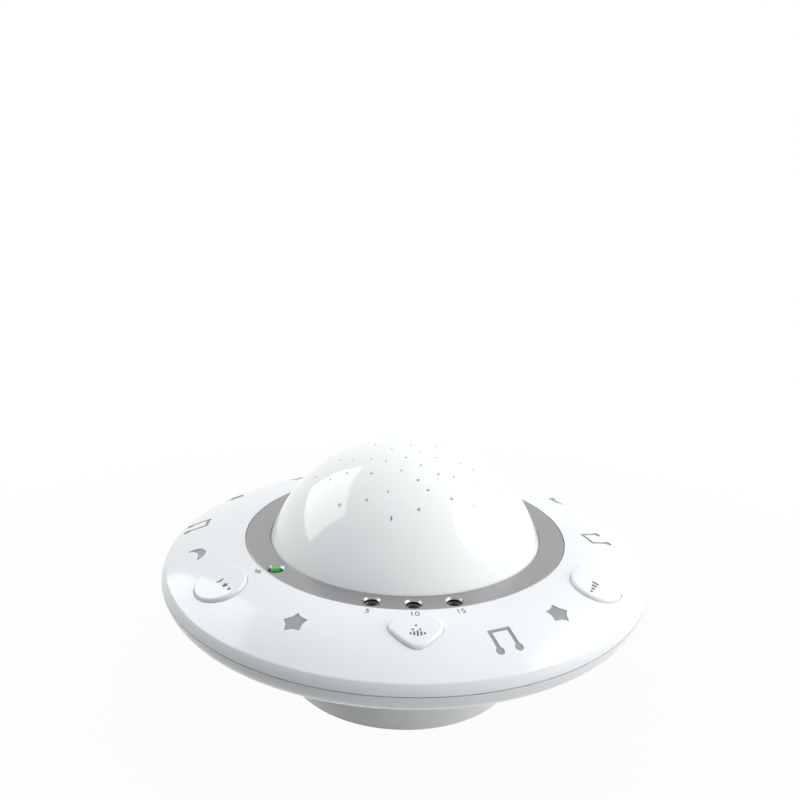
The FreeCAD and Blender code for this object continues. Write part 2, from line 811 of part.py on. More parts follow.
def lower_shell():
    solids = [lower_blank()]
    bores = []
    column_foot = "dish_bottom + shell_wall + fuse_overlap"
    for number, bearing in enumerate(CASE_BEARINGS, start=1):
        column = cylinder(f"case_column_{number}", "case_column_radius", f"case_column_top - ({column_foot})")
        solids.append(at_bearing(column, "case_screw_circle", bearing, column_foot))
        bore = cylinder(f"case_counterbore_{number}", "case_bore_radius", "case_head_seat - foot_bottom")
        bores.append(at_bearing(bore, "case_screw_circle", bearing, "foot_bottom"))
        hole = cylinder(f"case_hole_{number}", "case_screw_radius + screw_hole_clearance", "parting_height")
        bores.append(at_bearing(hole, "case_screw_circle", bearing, "foot_bottom"))
    solids.append(speaker_seat())
    bay_middle = "(bay_back - bay_front) / 2"
    solids.append(block("bay_walls", "2 * (bay_half_width + bay_wall)", "bay_length + 2 * bay_wall",
                        f"bay_roof + bay_wall - {FLOOR}", "0", bay_middle, FLOOR))
    solids.append(cylinder("door_boss", "door_boss_radius", f"door_boss_top - {FLOOR}", "0", "door_screw_y", FLOOR))
    bores.append(block("bay_space", "2 * bay_half_width", "bay_length", "bay_roof - foot_bottom",
                       "0", bay_middle, "foot_bottom"))
    bores.append(door_plate("door_opening", "door_gap", "shell_wall"))
    bores.append(cylinder("door_screw_hole", "case_screw_radius + door_screw_clearance",
                          "door_boss_top - foot_bottom - boss_roof", "0", "door_screw_y", "foot_bottom"))
    for number, bearing in enumerate(foot_pad_bearings(), start=1):
        seat = cylinder(f"foot_pad_seat_{number}", "foot_pad_radius", "foot_pad_recess")
        bores.append(at_bearing(seat, "foot_pad_circle", bearing, "foot_bottom"))
    bores.append(block("power_recess", "power_recess_width", "power_recess_length", "power_recess_depth",
                       "power_x", "0", "foot_bottom"))
    bores.append(block("power_slot", "power_knob_width + 2 * power_gap",
                       "power_knob_length + power_travel + 2 * power_gap", "shell_wall",
                       "power_x", "0", "foot_bottom"))
    for number in range(-2, 3):
        half = f"sqrt((speaker_radius - speaker_land)^2 - (speaker_slot_pitch * {number})^2)"
        bores.append(block(f"speaker_slot_{number + 3}", "speaker_slot_width", f"2 * ({half} - speaker_slot_end)",
                           "speaker_seat - foot_bottom", f"speaker_slot_pitch * {number}",
                           "speaker_circle", "foot_bottom"))
    solid = fuse("lower_solid", solids)
    return piece("lower_shell", cut("lower_cut", solid, fuse("lower_bores", bores)))


def speaker_seat():
    """Ring that rises from the dish round the speaker, trimmed to the dish's outer surface."""
    fill = turned("dish_fill", [
        ("dish_flat_radius / 2", "dish_bottom"),
        *dish_profile("0"),
        ("body_radius", "parting_height"),
        ("dish_flat_radius / 2", "parting_height"),
    ])
    outer = cylinder("speaker_ring_outer", "speaker_radius + seat_clearance + speaker_ring_wall",
                     "speaker_seat + speaker_ring_lip - dish_bottom", "0", "speaker_circle", "dish_bottom")
    land = cylinder("speaker_ring_bore", "speaker_radius - speaker_land", "parting_height",
                    "0", "speaker_circle", "dish_bottom + shell_wall")
    rebate = cylinder("speaker_ring_rebate", "speaker_radius + seat_clearance", "parting_height",
                      "0", "speaker_circle", "speaker_seat")
    ring = cut("speaker_ring", outer, fuse("speaker_ring_space", [land, rebate]))
    return common("speaker_ring_trimmed", ring, fill)


def foot_pad_bearings():
    return ["foot_pad_bearing", "180 - foot_pad_bearing", "180 + foot_pad_bearing", "-foot_pad_bearing"]


def rubber_feet():
    for number, bearing in enumerate(foot_pad_bearings(), start=1):
        foot = cylinder(f"foot_{number}", "foot_pad_radius", "foot_bottom + foot_pad_recess")
        piece(f"rubber_foot_{number}", at_bearing(foot, "foot_pad_circle", bearing))


# Dome with its pinholes

# Pinholes as (tilt from the top, bearing). The front ones were read off the photo, the back ones are a guess.
PINHOLES = [
    (4, 14), (9, -47), (10, 26), (12, 72), (13, -92), (14, -6), (16, 40), (16, 105), (18, -31), (19, -52),
    (19, 13), (20, 88), (22, -9), (24, -68), (24, 61), (25, 26), (26, -100), (26, -36), (27, 6), (28, -82),
    (28, 38), (28, 102), (29, 65), (30, -57), (32, 12), (33, -99), (33, -17), (35, 53), (35, 89), (36, -65),
    (37, 26), (38, -28), (38, 74), (40, -82), (40, 4), (42, 37), (42, 63), (43, -43), (44, -12),
    (20, 150), (22, -160), (27, 180), (36, 128), (37, -145), (38, 165), (40, -112),
]


def dome():
    blank = turned("dome_blank", [
        (dome_reach(LEDGE_TOP, "dome_wall"), LEDGE_TOP),
        ("dome_flange_radius", LEDGE_TOP),
        ("dome_flange_radius", "bezel_seat_height"),
        (dome_reach("bezel_seat_height"), "bezel_seat_height", "dome_radius"),
        ("0", "dome_center_height + dome_radius"),
        ("0", "dome_center_height + dome_radius - dome_wall", "-(dome_radius - dome_wall)"),
    ])
    tools = []
    for number, (tilt, bearing) in enumerate(PINHOLES, start=1):
        start = "(dome_radius - 2 * dome_wall)"
        pin = cylinder(f"pinhole_{number}", "pinhole_radius", "3 * dome_wall",
                       f"{start} * sin({tilt}) * sin({bearing})", f"-{start} * sin({tilt}) * cos({bearing})",
                       f"dome_center_height + {start} * cos({tilt})")
        aim = FreeCAD.Rotation(UPRIGHT, bearing).multiply(FreeCAD.Rotation(VECTOR(1, 0, 0), tilt))
        pin.Placement = FreeCAD.Placement(pin.Placement.Base, aim)
        tools.append(pin)
    for label, bearing in LAMP_BEARINGS.items():
        notch = cylinder(f"{label}_notch", "led_radius + 1.5 * led_hole_clearance", "2 * flange_thickness")
        tools.append(at_bearing(notch, "lamp_circle", bearing, f"{LEDGE_TOP} - flange_thickness / 2"))
    return piece("dome", cut("dome_drilled", blank, group("dome_tools", tools)))


# Trim ring with its four lamp wells

def bezel_ring():
    ring = turned("bezel_blank", [
        ("bezel_opening", "bezel_seat_height"),
        ("bezel_radius", "bezel_seat_height"),
        ("bezel_radius", "bezel_edge_height - bezel_edge_round", "bezel_edge_round * 1.5"),
        ("bezel_radius - bezel_edge_round", "bezel_edge_height"),
        ("bezel_opening - bezel_lean + bezel_edge_round", "bezel_inner_height", "bezel_edge_round * 1.5"),
        ("bezel_opening - bezel_lean", "bezel_inner_height - bezel_edge_round"),
    ])
    wells = []
    surface = "(bezel_edge_height + bezel_inner_height) / 2"
    for label, bearing in LAMP_BEARINGS.items():
        bore = cylinder(f"{label}_ring_bore", "led_radius + led_hole_clearance / 3", "2 * flange_thickness")
        wells.append(at_bearing(bore, "lamp_circle", bearing, "bezel_seat_height - flange_thickness / 2"))
        dish = cone(f"{label}_dish", "led_radius + led_hole_clearance / 3",
                    "2 * well_radius - led_radius - led_hole_clearance / 3", "2 * well_depth")
        wells.append(at_bearing(dish, "lamp_circle", bearing, f"{surface} - well_depth"))
    return piece("bezel_ring", cut("bezel_cut", ring, fuse("bezel_wells", wells)))


def led(label, bearing, top):
    """Round lamp on two leads: flange, barrel and a half-round top."""
    barrel_bottom = f"{top} - led_length"
    straight = "led_length - led_radius"
    parts = [
        cylinder(f"{label}_barrel", "led_radius", straight, "0", "0", barrel_bottom),
        cylinder(f"{label}_flange", "led_flange_radius", "led_flange_height", "0", "0", barrel_bottom),
    ]
    tip = doc.addObject("Part::Sphere", f"{label}_tip")
    bind(tip, "Radius", "led_radius")
    parts.append(place(tip, "0", "0", f"{top} - led_radius"))
    for number, side in enumerate((-1, 1), start=1):
        parts.append(block(f"{label}_lead_{number}", "led_lead_width", "led_lead_width",
                           f"{barrel_bottom} - board_top + fuse_overlap", f"{side} * led_lead_pitch / 2", "0",
                           "board_top"))
    return piece(label, at_bearing(fuse(f"{label}_solid", parts), "lamp_circle", bearing))


# Press pads and the switches under them

PAD_LOW = "-shell_wall - pad_play - pad_flange_thickness"
SWITCH_TOP = "(board_top + switch_height + plunger_rise)"


def press_pad(label, bearing):
    cap_band = deck_band(f"{label}_cap_band", PAD_LOW, "pad_rise")
    cap = common(f"{label}_cap", pad_prism(f"{label}_prism", oval(f"{label}_outline"), bearing, "pad_circle"),
                 cap_band)
    soft = rounded(f"{label}_soft", cap, pad_top_edge, "pad_round")
    flange_band = deck_band(f"{label}_flange_band", PAD_LOW, "-shell_wall - pad_play")
    flange_prism = pad_prism(f"{label}_flange_prism", oval(f"{label}_flange_outline", "pad_flange"),
                             bearing, "pad_circle")
    flange = common(f"{label}_flange", flange_prism, flange_band)
    post = cylinder(f"{label}_post", "post_radius", f"{deck('pad_circle', '-shell_wall')} - {SWITCH_TOP}")
    at_bearing(post, "pad_circle", bearing, SWITCH_TOP)
    return piece(label, fuse(f"{label}_solid", [soft, flange, post]))


def pad_top_edge(edge):
    """Test for an edge of a pad's raised face: it lies on the raised surface all along."""
    heights = []
    for step in range(5):
        point = edge.valueAt(edge.FirstParameter + (edge.LastParameter - edge.FirstParameter) * step / 4)
        surface = value(deck(str(math.hypot(point.x, point.y)), "pad_rise"))
        heights.append(abs(point.z - surface))
    return max(heights) < 0.02 and edge.Length > 1.0


def tact_switch(label, bearing):
    case = block(f"{label}_case", "switch_width", "switch_width", "switch_height")
    bore = cylinder(f"{label}_bore", "plunger_radius + plunger_clearance", "2 * switch_height", "0", "0",
                    "switch_height - plunger_depth - plunger_travel")
    body = at_bearing(cut(f"{label}_cut", case, bore), "pad_circle", bearing, "board_top")
    piece(f"{label}_body", body)
    plunger = cylinder(f"{label}_pin", "plunger_radius", "plunger_rise + plunger_depth")
    piece(f"{label}_plunger", at_bearing(plunger, "pad_circle", bearing, f"{SWITCH_TOP} - plunger_rise - plunger_depth"))


# Microphone pad, its rubber boot and capsule

def microphone():
    cap_band = deck_band("mic_cap_band", PAD_LOW, "pad_rise")
    cap = common("mic_cap", pad_prism("mic_prism", shield("mic_outline"), "0", "mic_circle"), cap_band)
    soft = rounded("mic_soft", cap, pad_top_edge, "pad_round")
    flange_band = deck_band("mic_flange_band", PAD_LOW, "-shell_wall")
    flange_prism = pad_prism("mic_flange_prism", shield("mic_flange_outline", "pad_flange"), "0", "mic_circle")
    flange = common("mic_flange", flange_prism, flange_band)
    holes = []
    for number, (x, y) in enumerate((("0", "mic_hole_pitch"), ("-mic_hole_pitch", "-mic_hole_pitch / 2"),
                                     ("mic_hole_pitch", "-mic_hole_pitch / 2")), start=1):
        holes.append(cylinder(f"mic_hole_{number}", "mic_hole_radius", "4 * shell_wall",
                              x, f"{y} - mic_circle - mic_hole_radius",
                              f"{deck('mic_circle', PAD_LOW)} - shell_wall"))
    solid = fuse("mic_solid", [soft, flange])
    piece("mic_pad", cut("mic_drilled", solid, group("mic_holes", holes)))
    underside = deck("mic_circle", PAD_LOW)
    outer = cylinder("boot_outer", "mic_capsule_radius + mic_boot_wall",
                     f"{deck('mic_circle + mic_capsule_radius + mic_boot_wall', PAD_LOW)} - board_top",
                     "0", "-mic_circle", "board_top")
    inner = cylinder("boot_inner", "mic_capsule_radius", f"{underside}", "0", "-mic_circle", "board_top")
    piece("mic_boot", cut("boot_tube", outer, inner))
    piece("mic_capsule", cylinder("mic_can", "mic_capsule_radius", "mic_capsule_height",
                                  "0", "-mic_circle", "board_top"))


# Control board with what is soldered on it

def control_board():
    inner, outer, half = "board_inner_radius", "board_outer_radius", "board_half_angle"
    board = padded("board_blank", [
        (f"{inner} * sin({half})", f"-{inner} * cos({half})", f"-{inner}"),
        (f"-{inner} * sin({half})", f"-{inner} * cos({half})"),
        (f"-{outer} * sin({half})", f"-{outer} * cos({half})", outer),
        (f"{outer} * sin({half})", f"-{outer} * cos({half})"),
    ], "board_top - board_thickness", "board_thickness")
    holes = [(f"{circle_name} * sin({bearing})", f"-{circle_name} * cos({bearing})",
              "board_screw_radius + screw_hole_clearance") for circle_name, bearing in board_screw_places()]
    for side in (-1, 1):
        holes.append((f"{side} * case_screw_circle * sin(case_screw_first)",
                      "-case_screw_circle * cos(case_screw_first)", "case_column_radius + column_clearance"))
    piece("control_board", hole_pocket(board, "board_holes", holes))
    under = "board_top - board_thickness"
    chip = block("chip_case", "chip_length", "chip_width", "chip_height")
    piece("control_chip", at_bearing(chip, "chip_circle", "chip_bearing", f"{under} - chip_height"))
    cans = []
    for number, side in enumerate((-1, 1), start=1):
        can = cylinder(f"capacitor_can_{number}", "capacitor_radius", "capacitor_height")
        cans.append(at_bearing(can, "capacitor_circle", f"{side} * capacitor_spread - capacitor_bearing",
                               f"{under} - capacitor_height"))
    piece("board_capacitors", group("capacitor_cans", cans))
    screws = []
    for number, (circle_name, bearing) in enumerate(board_screw_places(), start=1):
        screw = small_screw(f"board_screw_{number}", "board_screw_depth + board_thickness - screw_end_gap")
        screws.append(at_bearing(screw, circle_name, bearing, under))
    piece("board_screws", group("board_screw_group", screws))


def small_screw(name, length):
    """Small pan-head screw, its head just below its own origin and its shank pointing up."""
    head = cylinder(f"{name}_head", "board_screw_head", "screw_head_height", "0", "0", "-screw_head_height")
    shank = cylinder(f"{name}_shank", "board_screw_radius", length)
    return fuse(name, [head, shank])


# Reflector tray with the lamp board that lights the dome

def reflector_tray():
    top, wall = LEDGE_BOTTOM, "tray_wall"
    dish = turned("tray_blank", [
        ("0", "tray_floor_height"),
        ("tray_floor_radius", "tray_floor_height"),
        ("tray_rim_inner", f"{top} - {wall}"),
        ("tray_rim_outer", f"{top} - {wall}"),
        ("tray_rim_outer", top),
        (f"tray_rim_inner - {wall}", top),
        (f"tray_floor_radius - {wall} / 2", f"tray_floor_height + {wall}"),
        ("0", f"tray_floor_height + {wall}"),
    ])
    ears = []
    bores = []
    screws = []
    for number, bearing in enumerate(tray_screw_bearings(), start=1):
        tip = cylinder(f"tray_ear_tip_{number}", "tray_ear_radius", wall)
        ears.append(at_bearing(tip, "tray_screw_circle", bearing, f"{top} - {wall}"))
        web = doc.addObject("Part::Box", f"tray_ear_web_{number}")
        bind(web, "Length", "2 * tray_ear_radius")
        bind(web, "Width", "tray_screw_circle - tray_rim_outer + tray_wall")
        bind(web, "Height", wall)
        place(web, f"tray_screw_circle * sin({bearing}) - tray_ear_radius * cos({bearing})",
              f"-tray_screw_circle * cos({bearing}) - tray_ear_radius * sin({bearing})", f"{top} - {wall}", bearing)
        ears.append(web)
        bore = cylinder(f"tray_ear_bore_{number}", "board_screw_radius + screw_hole_clearance", f"3 * {wall}")
        bores.append(at_bearing(bore, "tray_screw_circle", bearing, f"{top} - 2 * {wall}"))
        screw = small_screw(f"tray_screw_{number}", f"{wall} + tray_screw_depth - screw_end_gap")
        screws.append(at_bearing(screw, "tray_screw_circle", bearing, f"{top} - {wall}"))
    lamp_screws = []
    for number, side in enumerate((-1, 1), start=1):
        ears.append(cylinder(f"lamp_boss_{number}", "board_boss_radius", "lamp_boss_height",
                             f"{side} * lamp_screw_circle", "0", "tray_floor_height - lamp_boss_drop"))
        bores.append(cylinder(f"lamp_pilot_{number}", "board_screw_radius", "lamp_boss_height + tray_wall",
                              f"{side} * lamp_screw_circle", "0", "tray_floor_height - lamp_boss_drop + boss_roof"))
        lamp_screws.append(place(lamp_screw(f"lamp_screw_{number}"), f"{side} * lamp_screw_circle", "0",
                                 "tray_floor_height + tray_wall + board_thickness"))
    solid = fuse("tray_solid", [dish] + ears)
    piece("reflector_tray", cut("tray_cut", solid, fuse("tray_bores", bores)))
    piece("tray_screws", group("tray_screw_group", screws))
    piece("lamp_board_screws", group("lamp_screw_group", lamp_screws))
    base = "tray_floor_height + tray_wall"
    disc = cylinder("lamp_disc", "lamp_board_radius", "board_thickness", "0", "0", base)
    holes = [cylinder(f"lamp_board_hole_{number}", "board_screw_radius + screw_hole_clearance",
                      "3 * board_thickness", f"{side} * lamp_screw_circle", "0", f"{base} - board_thickness")
             for number, side in enumerate((-1, 1), start=1)]
    piece("lamp_board", cut("lamp_board_cut", disc, group("lamp_board_holes", holes)))
    leds = []
    for number in range(3):
        barrel = cylinder(f"lamp_barrel_{number}", "lamp_led_radius", "lamp_led_height - lamp_led_radius")
        tip = doc.addObject("Part::Sphere", f"lamp_tip_{number}")
        bind(tip, "Radius", "lamp_led_radius")
        place(tip, "0", "0", "lamp_led_height - lamp_led_radius")
        lens = common(f"lamp_lens_{number}", tip, cylinder(f"lamp_lens_space_{number}", "lamp_led_radius",
                                                          "lamp_led_height"))
        leds.append(at_bearing(fuse(f"projection_lamp_{number}", [barrel, lens]), "lamp_led_circle",
                               f"60 + 120 * {number}", f"{base} + board_thickness"))
    piece("projection_lamps", group("projection_lamp_group", leds))


def lamp_screw(name):
    """Small screw that points down, its head above its own origin."""
    head = cylinder(f"{name}_head", "board_screw_head", "screw_head_height")
    length = "(board_thickness + tray_wall + lamp_boss_drop - boss_roof - screw_end_gap)"
    shank = cylinder(f"{name}_shank", "board_screw_radius", length, "0", "0", f"-{length}")
    return fuse(name, [head, shank])


# Speaker that fires down through the dish

def speaker():
    seat = "speaker_seat"
    cone_top = f"{seat} + speaker_frame_height"
    basket = speaker_body("basket_blank", [
        ("speaker_radius - speaker_land", seat),
        ("speaker_radius", seat),
        ("speaker_radius", f"{seat} + speaker_rim_height"),
        ("speaker_radius - speaker_land", f"{seat} + speaker_rim_height"),
        ("speaker_magnet_radius", cone_top),
        ("speaker_magnet_radius / 2", cone_top),
        ("speaker_magnet_radius / 2", f"{cone_top} - speaker_wall"),
        ("speaker_magnet_radius - speaker_wall", f"{cone_top} - speaker_wall"),
        ("speaker_radius - speaker_land - speaker_wall", f"{seat} + speaker_rim_height - speaker_wall / 2"),
    ])
    piece("speaker_frame", basket)
    paper = speaker_body("cone_blank", [
        ("0", f"{cone_top} - speaker_wall - speaker_cone_thickness"),
        ("speaker_magnet_radius / 2", f"{cone_top} - speaker_wall - speaker_cone_thickness"),
        ("speaker_radius - speaker_land - speaker_wall", seat),
        ("speaker_radius - speaker_land", seat),
        ("speaker_radius - speaker_land - speaker_wall", f"{seat} + speaker_rim_height - speaker_wall / 2"),
        ("speaker_magnet_radius / 2", f"{cone_top} - speaker_wall"),
        ("0", f"{cone_top} - speaker_wall"),
    ])
    piece("speaker_cone", paper)
    piece("speaker_magnet", cylinder("magnet_disc", "speaker_magnet_radius", "speaker_magnet_height",
                                     "0", "speaker_circle", cone_top))


def speaker_body(name, points):
    """Body of revolution about the speaker's own axis."""
    return place(turned(name, points), "0", "speaker_circle")


# Battery bay: cells and contacts

def cell(label, x, flip):
    """AA cell lying along Y. Its positive cap faces the back, or the front when flipped."""
    side = -1 if flip else 1
    middle = "(bay_back - bay_front) / 2"
    cap_end = f"{middle} + {side} * (bay_length / 2 - contact_thickness)"
    can = cylinder(f"{label}_can", "cell_radius", "cell_length")
    nub = cylinder(f"{label}_nub", "cell_nub_radius", "cell_nub_length + fuse_overlap", "0", "0",
                   "cell_length - fuse_overlap")
    whole = fuse(f"{label}_cell", [can, nub])
    lie_along_y(whole, x, f"{cap_end} - {side} * (cell_length + cell_nub_length)", side)
    return piece(label, whole)


def lie_along_y(item, x, y, side):
    """Lay an upright solid along Y at the height of the cells."""
    item.Placement = FreeCAD.Placement(VECTOR(value(x), value(y), value("cell_center_height")),
                                       FreeCAD.Rotation(VECTOR(1, 0, 0), -90 * side))
    bind(item, ".Placement.Base.x", x)
    bind(item, ".Placement.Base.y", y)
    bind(item, ".Placement.Base.z", "cell_center_height")
    return item


def battery_bay():
    labels = {"battery_left": ("-cell_pitch", False), "battery_middle": ("0", True),
              "battery_right": ("cell_pitch", False)}
    plates = []
    springs = []
    for label, (x, flip) in labels.items():
        cell(label, x, flip)
        side = -1 if flip else 1
        cap_wall = "-bay_front" if flip else "bay_back"
        spring_wall = "bay_back" if flip else "-bay_front"
        plates.append(block(f"{label}_plate", "contact_width", "contact_thickness", "contact_width", x,
                            f"{cap_wall} - {side} * contact_thickness / 2",
                            "cell_center_height - contact_width / 2"))
        base = block(f"{label}_spring_base", "contact_width", "contact_thickness", "contact_width", x,
                     f"{spring_wall} + {side} * contact_thickness / 2",
                     "cell_center_height - contact_width / 2")
        coil = cone(f"{label}_coil", "spring_radius", "spring_tip_radius", "spring_reach")
        core = cone(f"{label}_core", "spring_radius - spring_wire", "spring_tip_radius - spring_wire",
                    "spring_reach")
        tube = lie_along_y(cut(f"{label}_spring_tube", coil, core), x,
                           f"{spring_wall} + {side} * contact_thickness", side)
        springs.append(fuse(f"{label}_spring", [base, tube]))
    piece("battery_plate_contacts", group("plate_contacts", plates))
    piece("battery_spring_contacts", group("spring_contacts", springs))


# Battery door

def door_plate(name, grow, thickness):
    """Rounded plate over the battery bay, larger all round by the growth."""
    side, front, back = f"door_half_width + ({grow})", f"-door_front - ({grow})", f"door_back + ({grow})"
    corner = f"door_corner + ({grow})"
    return padded(name, [
        (f"-({side}) + {corner}", front),
        (f"{side} - ({corner})", front, corner),
        (side, f"{front} + {corner}"),
        (side, f"{back} - ({corner})", corner),
        (f"{side} - ({corner})", back),
        (f"-({side}) + {corner}", back, corner),
        (f"-({side})", f"{back} - ({corner})"),
        (f"-({side})", f"{front} + {corner}", corner),
    ], "foot_bottom", thickness)


def battery_door():
    plate = door_plate("door_blank", "0", "shell_wall")
    bore = cylinder("door_bore", "case_screw_radius + screw_hole_clearance", "shell_wall", "0", "door_screw_y",
                    "foot_bottom")
    sink = cylinder("door_sink", "door_head_radius + screw_hole_clearance", "door_head_height", "0",
                    "door_screw_y", "foot_bottom")
    piece("battery_door", cut("door_cut", plate, fuse("door_bores", [bore, sink])))
    head = cylinder("door_screw_head", "door_head_radius", "door_head_height", "0", "door_screw_y", "foot_bottom")
    shank = cylinder("door_screw_shank", "case_screw_radius", "door_screw_length", "0", "door_screw_y",
                     "foot_bottom + door_head_height")
    slots = cross_slots("door_screw_slot", "door_head_radius", "0", "door_screw_y", "foot_bottom")
    piece("battery_door_screw", cut("door_screw_cut", fuse("door_screw_solid", [head, shank]), slots))


def cross_slots(name, head_radius, x, y, z):
    """Cross recess in the under side of a screw head."""
    arms = [block(f"{name}_{number}", length, width, "cross_slot_depth", x, y, z) for number, (length, width)
            in enumerate(((f"{head_radius} * 1.2", "cross_slot_width"),
                          ("cross_slot_width", f"{head_radius} * 1.2")), start=1)]
    return fuse(f"{name}_cross", arms)


def case_screws():
    screws = []
    for number, bearing in enumerate(CASE_BEARINGS, start=1):
        head = cylinder(f"case_head_{number}", "case_screw_head", "case_screw_head_height", "0", "0",
                        "-case_screw_head_height")
        shank = cylinder(f"case_shank_{number}", "case_screw_radius", "case_screw_length")
        slots = cross_slots(f"case_slot_{number}", "case_screw_head", "0", "0", "-case_screw_head_height")
        screw = cut(f"case_screw_{number}", fuse(f"case_screw_solid_{number}", [head, shank]), slots)
        screws.append(at_bearing(screw, "case_screw_circle", bearing, "case_head_seat"))
    piece("case_screws", group("case_screw_group", screws))


# Power switch in the foot

def power_switch():
    rest = "-power_travel / 2"
    case = block("power_case", "power_body_width", "power_body_length", "power_body_height", "power_x", "0", FLOOR)
    space = block("power_space", "power_body_width - 2 * power_wall", "power_body_length - 2 * power_wall",
                  "power_body_height - power_wall", "power_x", "0", FLOOR)
    piece("power_switch_body", cut("power_case_cut", case, space))
    shoe_width = "power_body_width - 2 * power_wall - 2 * power_gap"
    shoe_length = "power_body_length - 2 * power_wall - power_travel - 2 * power_gap"
    shoe = block("power_shoe", shoe_width, shoe_length, "power_body_height / 2", "power_x", rest,
                 f"{FLOOR} + power_gap")
    knob = block("power_knob", "power_knob_width", "power_knob_length",
                 f"{FLOOR} + power_gap + power_wall - power_knob_bottom", "power_x", rest, "power_knob_bottom")
    piece("power_switch_slider", fuse("power_slider", [shoe, knob]))


prisms = ornament_prisms()
upper_shell(prisms)
lower_shell()
dome()
bezel_ring()
inlays(prisms)
for pad_label, pad_place in (("mode", "-pad_bearing"), ("volume", "pad_bearing")):
    press_pad(f"{pad_label}_button", pad_place)
    tact_switch(f"{pad_label}_switch", pad_place)
microphone()
for lamp_label, lamp_place in LAMP_BEARINGS.items():
    led(lamp_label, lamp_place, "voice_led_top" if lamp_label == "voice_lamp" else "led_top")
control_board()
reflector_tray()
speaker()
battery_bay()
battery_door()
case_screws()
power_switch()
rubber_feet()

doc.recompute()
for item in doc.Objects:
    if {"Invalid", "Error"} & set(item.State):
        raise RuntimeError(f"{item.Label} did not recompute: {item.State}")

os.makedirs("parts", exist_ok=True)
for item in PIECES:
    if item.Shape.isNull() or not item.Shape.isValid():
        raise RuntimeError(f"{item.Label} has no sound shape")
    item.Shape.exportStep(f"parts/{item.Label}.step")
    print(f"{item.Label}: {len(item.Shape.Solids)} solid(s), {item.Shape.Volume / 1000:.2f} cm3")
print(f"{len(PIECES)} nodes")
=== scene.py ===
# %% [markdown]
# # Star night light projector
# A saucer-shaped nursery lamp: a milky dome with cut-out stars, moons and dots stands in a silver
# ring, and the white deck round it carries press pads, a microphone pad and sunk silver ornaments.
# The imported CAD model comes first. It is the fixed frame that every piece below is fitted to.

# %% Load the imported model
import math
import bpy
from mathutils import Matrix, Vector


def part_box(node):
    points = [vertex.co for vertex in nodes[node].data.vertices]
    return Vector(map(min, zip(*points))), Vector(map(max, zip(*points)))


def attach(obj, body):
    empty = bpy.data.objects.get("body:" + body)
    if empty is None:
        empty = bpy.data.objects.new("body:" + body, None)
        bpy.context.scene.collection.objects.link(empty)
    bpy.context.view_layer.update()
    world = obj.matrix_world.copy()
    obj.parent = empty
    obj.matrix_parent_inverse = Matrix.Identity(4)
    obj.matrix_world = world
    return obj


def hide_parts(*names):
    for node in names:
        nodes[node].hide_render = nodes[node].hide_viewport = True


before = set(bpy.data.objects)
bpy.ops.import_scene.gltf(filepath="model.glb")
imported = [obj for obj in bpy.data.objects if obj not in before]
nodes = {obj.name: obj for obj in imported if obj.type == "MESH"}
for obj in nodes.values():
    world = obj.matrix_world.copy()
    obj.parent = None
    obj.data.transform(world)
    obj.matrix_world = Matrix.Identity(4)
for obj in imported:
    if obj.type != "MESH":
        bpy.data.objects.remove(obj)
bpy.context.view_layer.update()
MM = 0.001

# %% [markdown]
# An operator works on all that is selected, and loading leaves the CAD nodes selected. So each piece
# starts from an empty selection, and what an operator is to work on is picked in code.

# %% Selection helpers


def clear_selection():
    """Leave edit mode and leave nothing selected."""
    active = bpy.context.view_layer.objects.active
    if active is not None and active.mode != "OBJECT":
        bpy.ops.object.mode_set(mode="OBJECT")
    bpy.ops.object.select_all(action="DESELECT")


def pick(piece):
    """Select one object and make it the active one."""
    clear_selection()
    piece.select_set(True)
    bpy.context.view_layer.objects.active = piece


def apply_modifier(piece, kind, **settings):
    """Add a modifier to a piece, set it up and apply it."""
    pick(piece)
    modifier = piece.modifiers.new(kind.lower(), kind)
    for name, setting in settings.items():
        setattr(modifier, name, setting)
    bpy.ops.object.modifier_apply(modifier=modifier.name)


def settle(piece, name, material, body):
    """Name a finished piece, put its place in its mesh, and let it ride on its body."""
    pick(piece)
    bpy.ops.object.transform_apply(location=True, rotation=True, scale=True)
    piece.name = name
    piece.data.name = name
    piece.data.materials.clear()
    piece.data.materials.append(material)
    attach(piece, body)
    clear_selection()
    print(f"{name}: {len(piece.data.polygons)} faces")


clear_selection()

# %% [markdown]
# The camera stands where the photographer stood: in front, a little above the rim and close by. Its
# place was worked out from the ellipses of the rim, the ring and the foot. The photo has the small roll too.

# %% Camera
CAMERA_PLACE = Vector((-0.02186, -0.35740, 0.22188))
CAMERA_AIM = Vector((0.0493, 0.9565, -0.2877)).normalized()
CAMERA_ROLL = math.radians(1.54)
CAMERA_LENS = 43.99
level_right = CAMERA_AIM.cross(Vector((0, 0, 1))).normalized()
level_up = level_right.cross(CAMERA_AIM)
right = level_right * math.cos(CAMERA_ROLL) + level_up * math.sin(CAMERA_ROLL)
up = level_up * math.cos(CAMERA_ROLL) - level_right * math.sin(CAMERA_ROLL)
camera_data = bpy.data.cameras.new("photo_camera")
camera_data.lens = CAMERA_LENS
camera_data.sensor_width = 36
camera_data.clip_start = 0.01
camera = bpy.data.objects.new("photo_camera", camera_data)
bpy.context.scene.collection.objects.link(camera)
turn = Matrix((right, up, -CAMERA_AIM)).transposed().to_4x4()
camera.matrix_world = Matrix.Translation(CAMERA_PLACE) @ turn
bpy.context.scene.camera = camera
print("camera", [round(value, 4) for value in camera.location])

# %% [markdown]
# The shader trees below repeat four small steps: put two values together, map a value to a new span, mix
# two colours by a factor, and feed a height to a bump. Each step is a helper that adds its node.

# %% Shader helpers


def add_math(tree, operation, first, second):
    """Put two sockets together with a Math node."""
    node = tree.nodes.new("ShaderNodeMath")
    node.operation = operation
    tree.links.new(first, node.inputs[0])
    tree.links.new(second, node.inputs[1])
    return node.outputs[0]


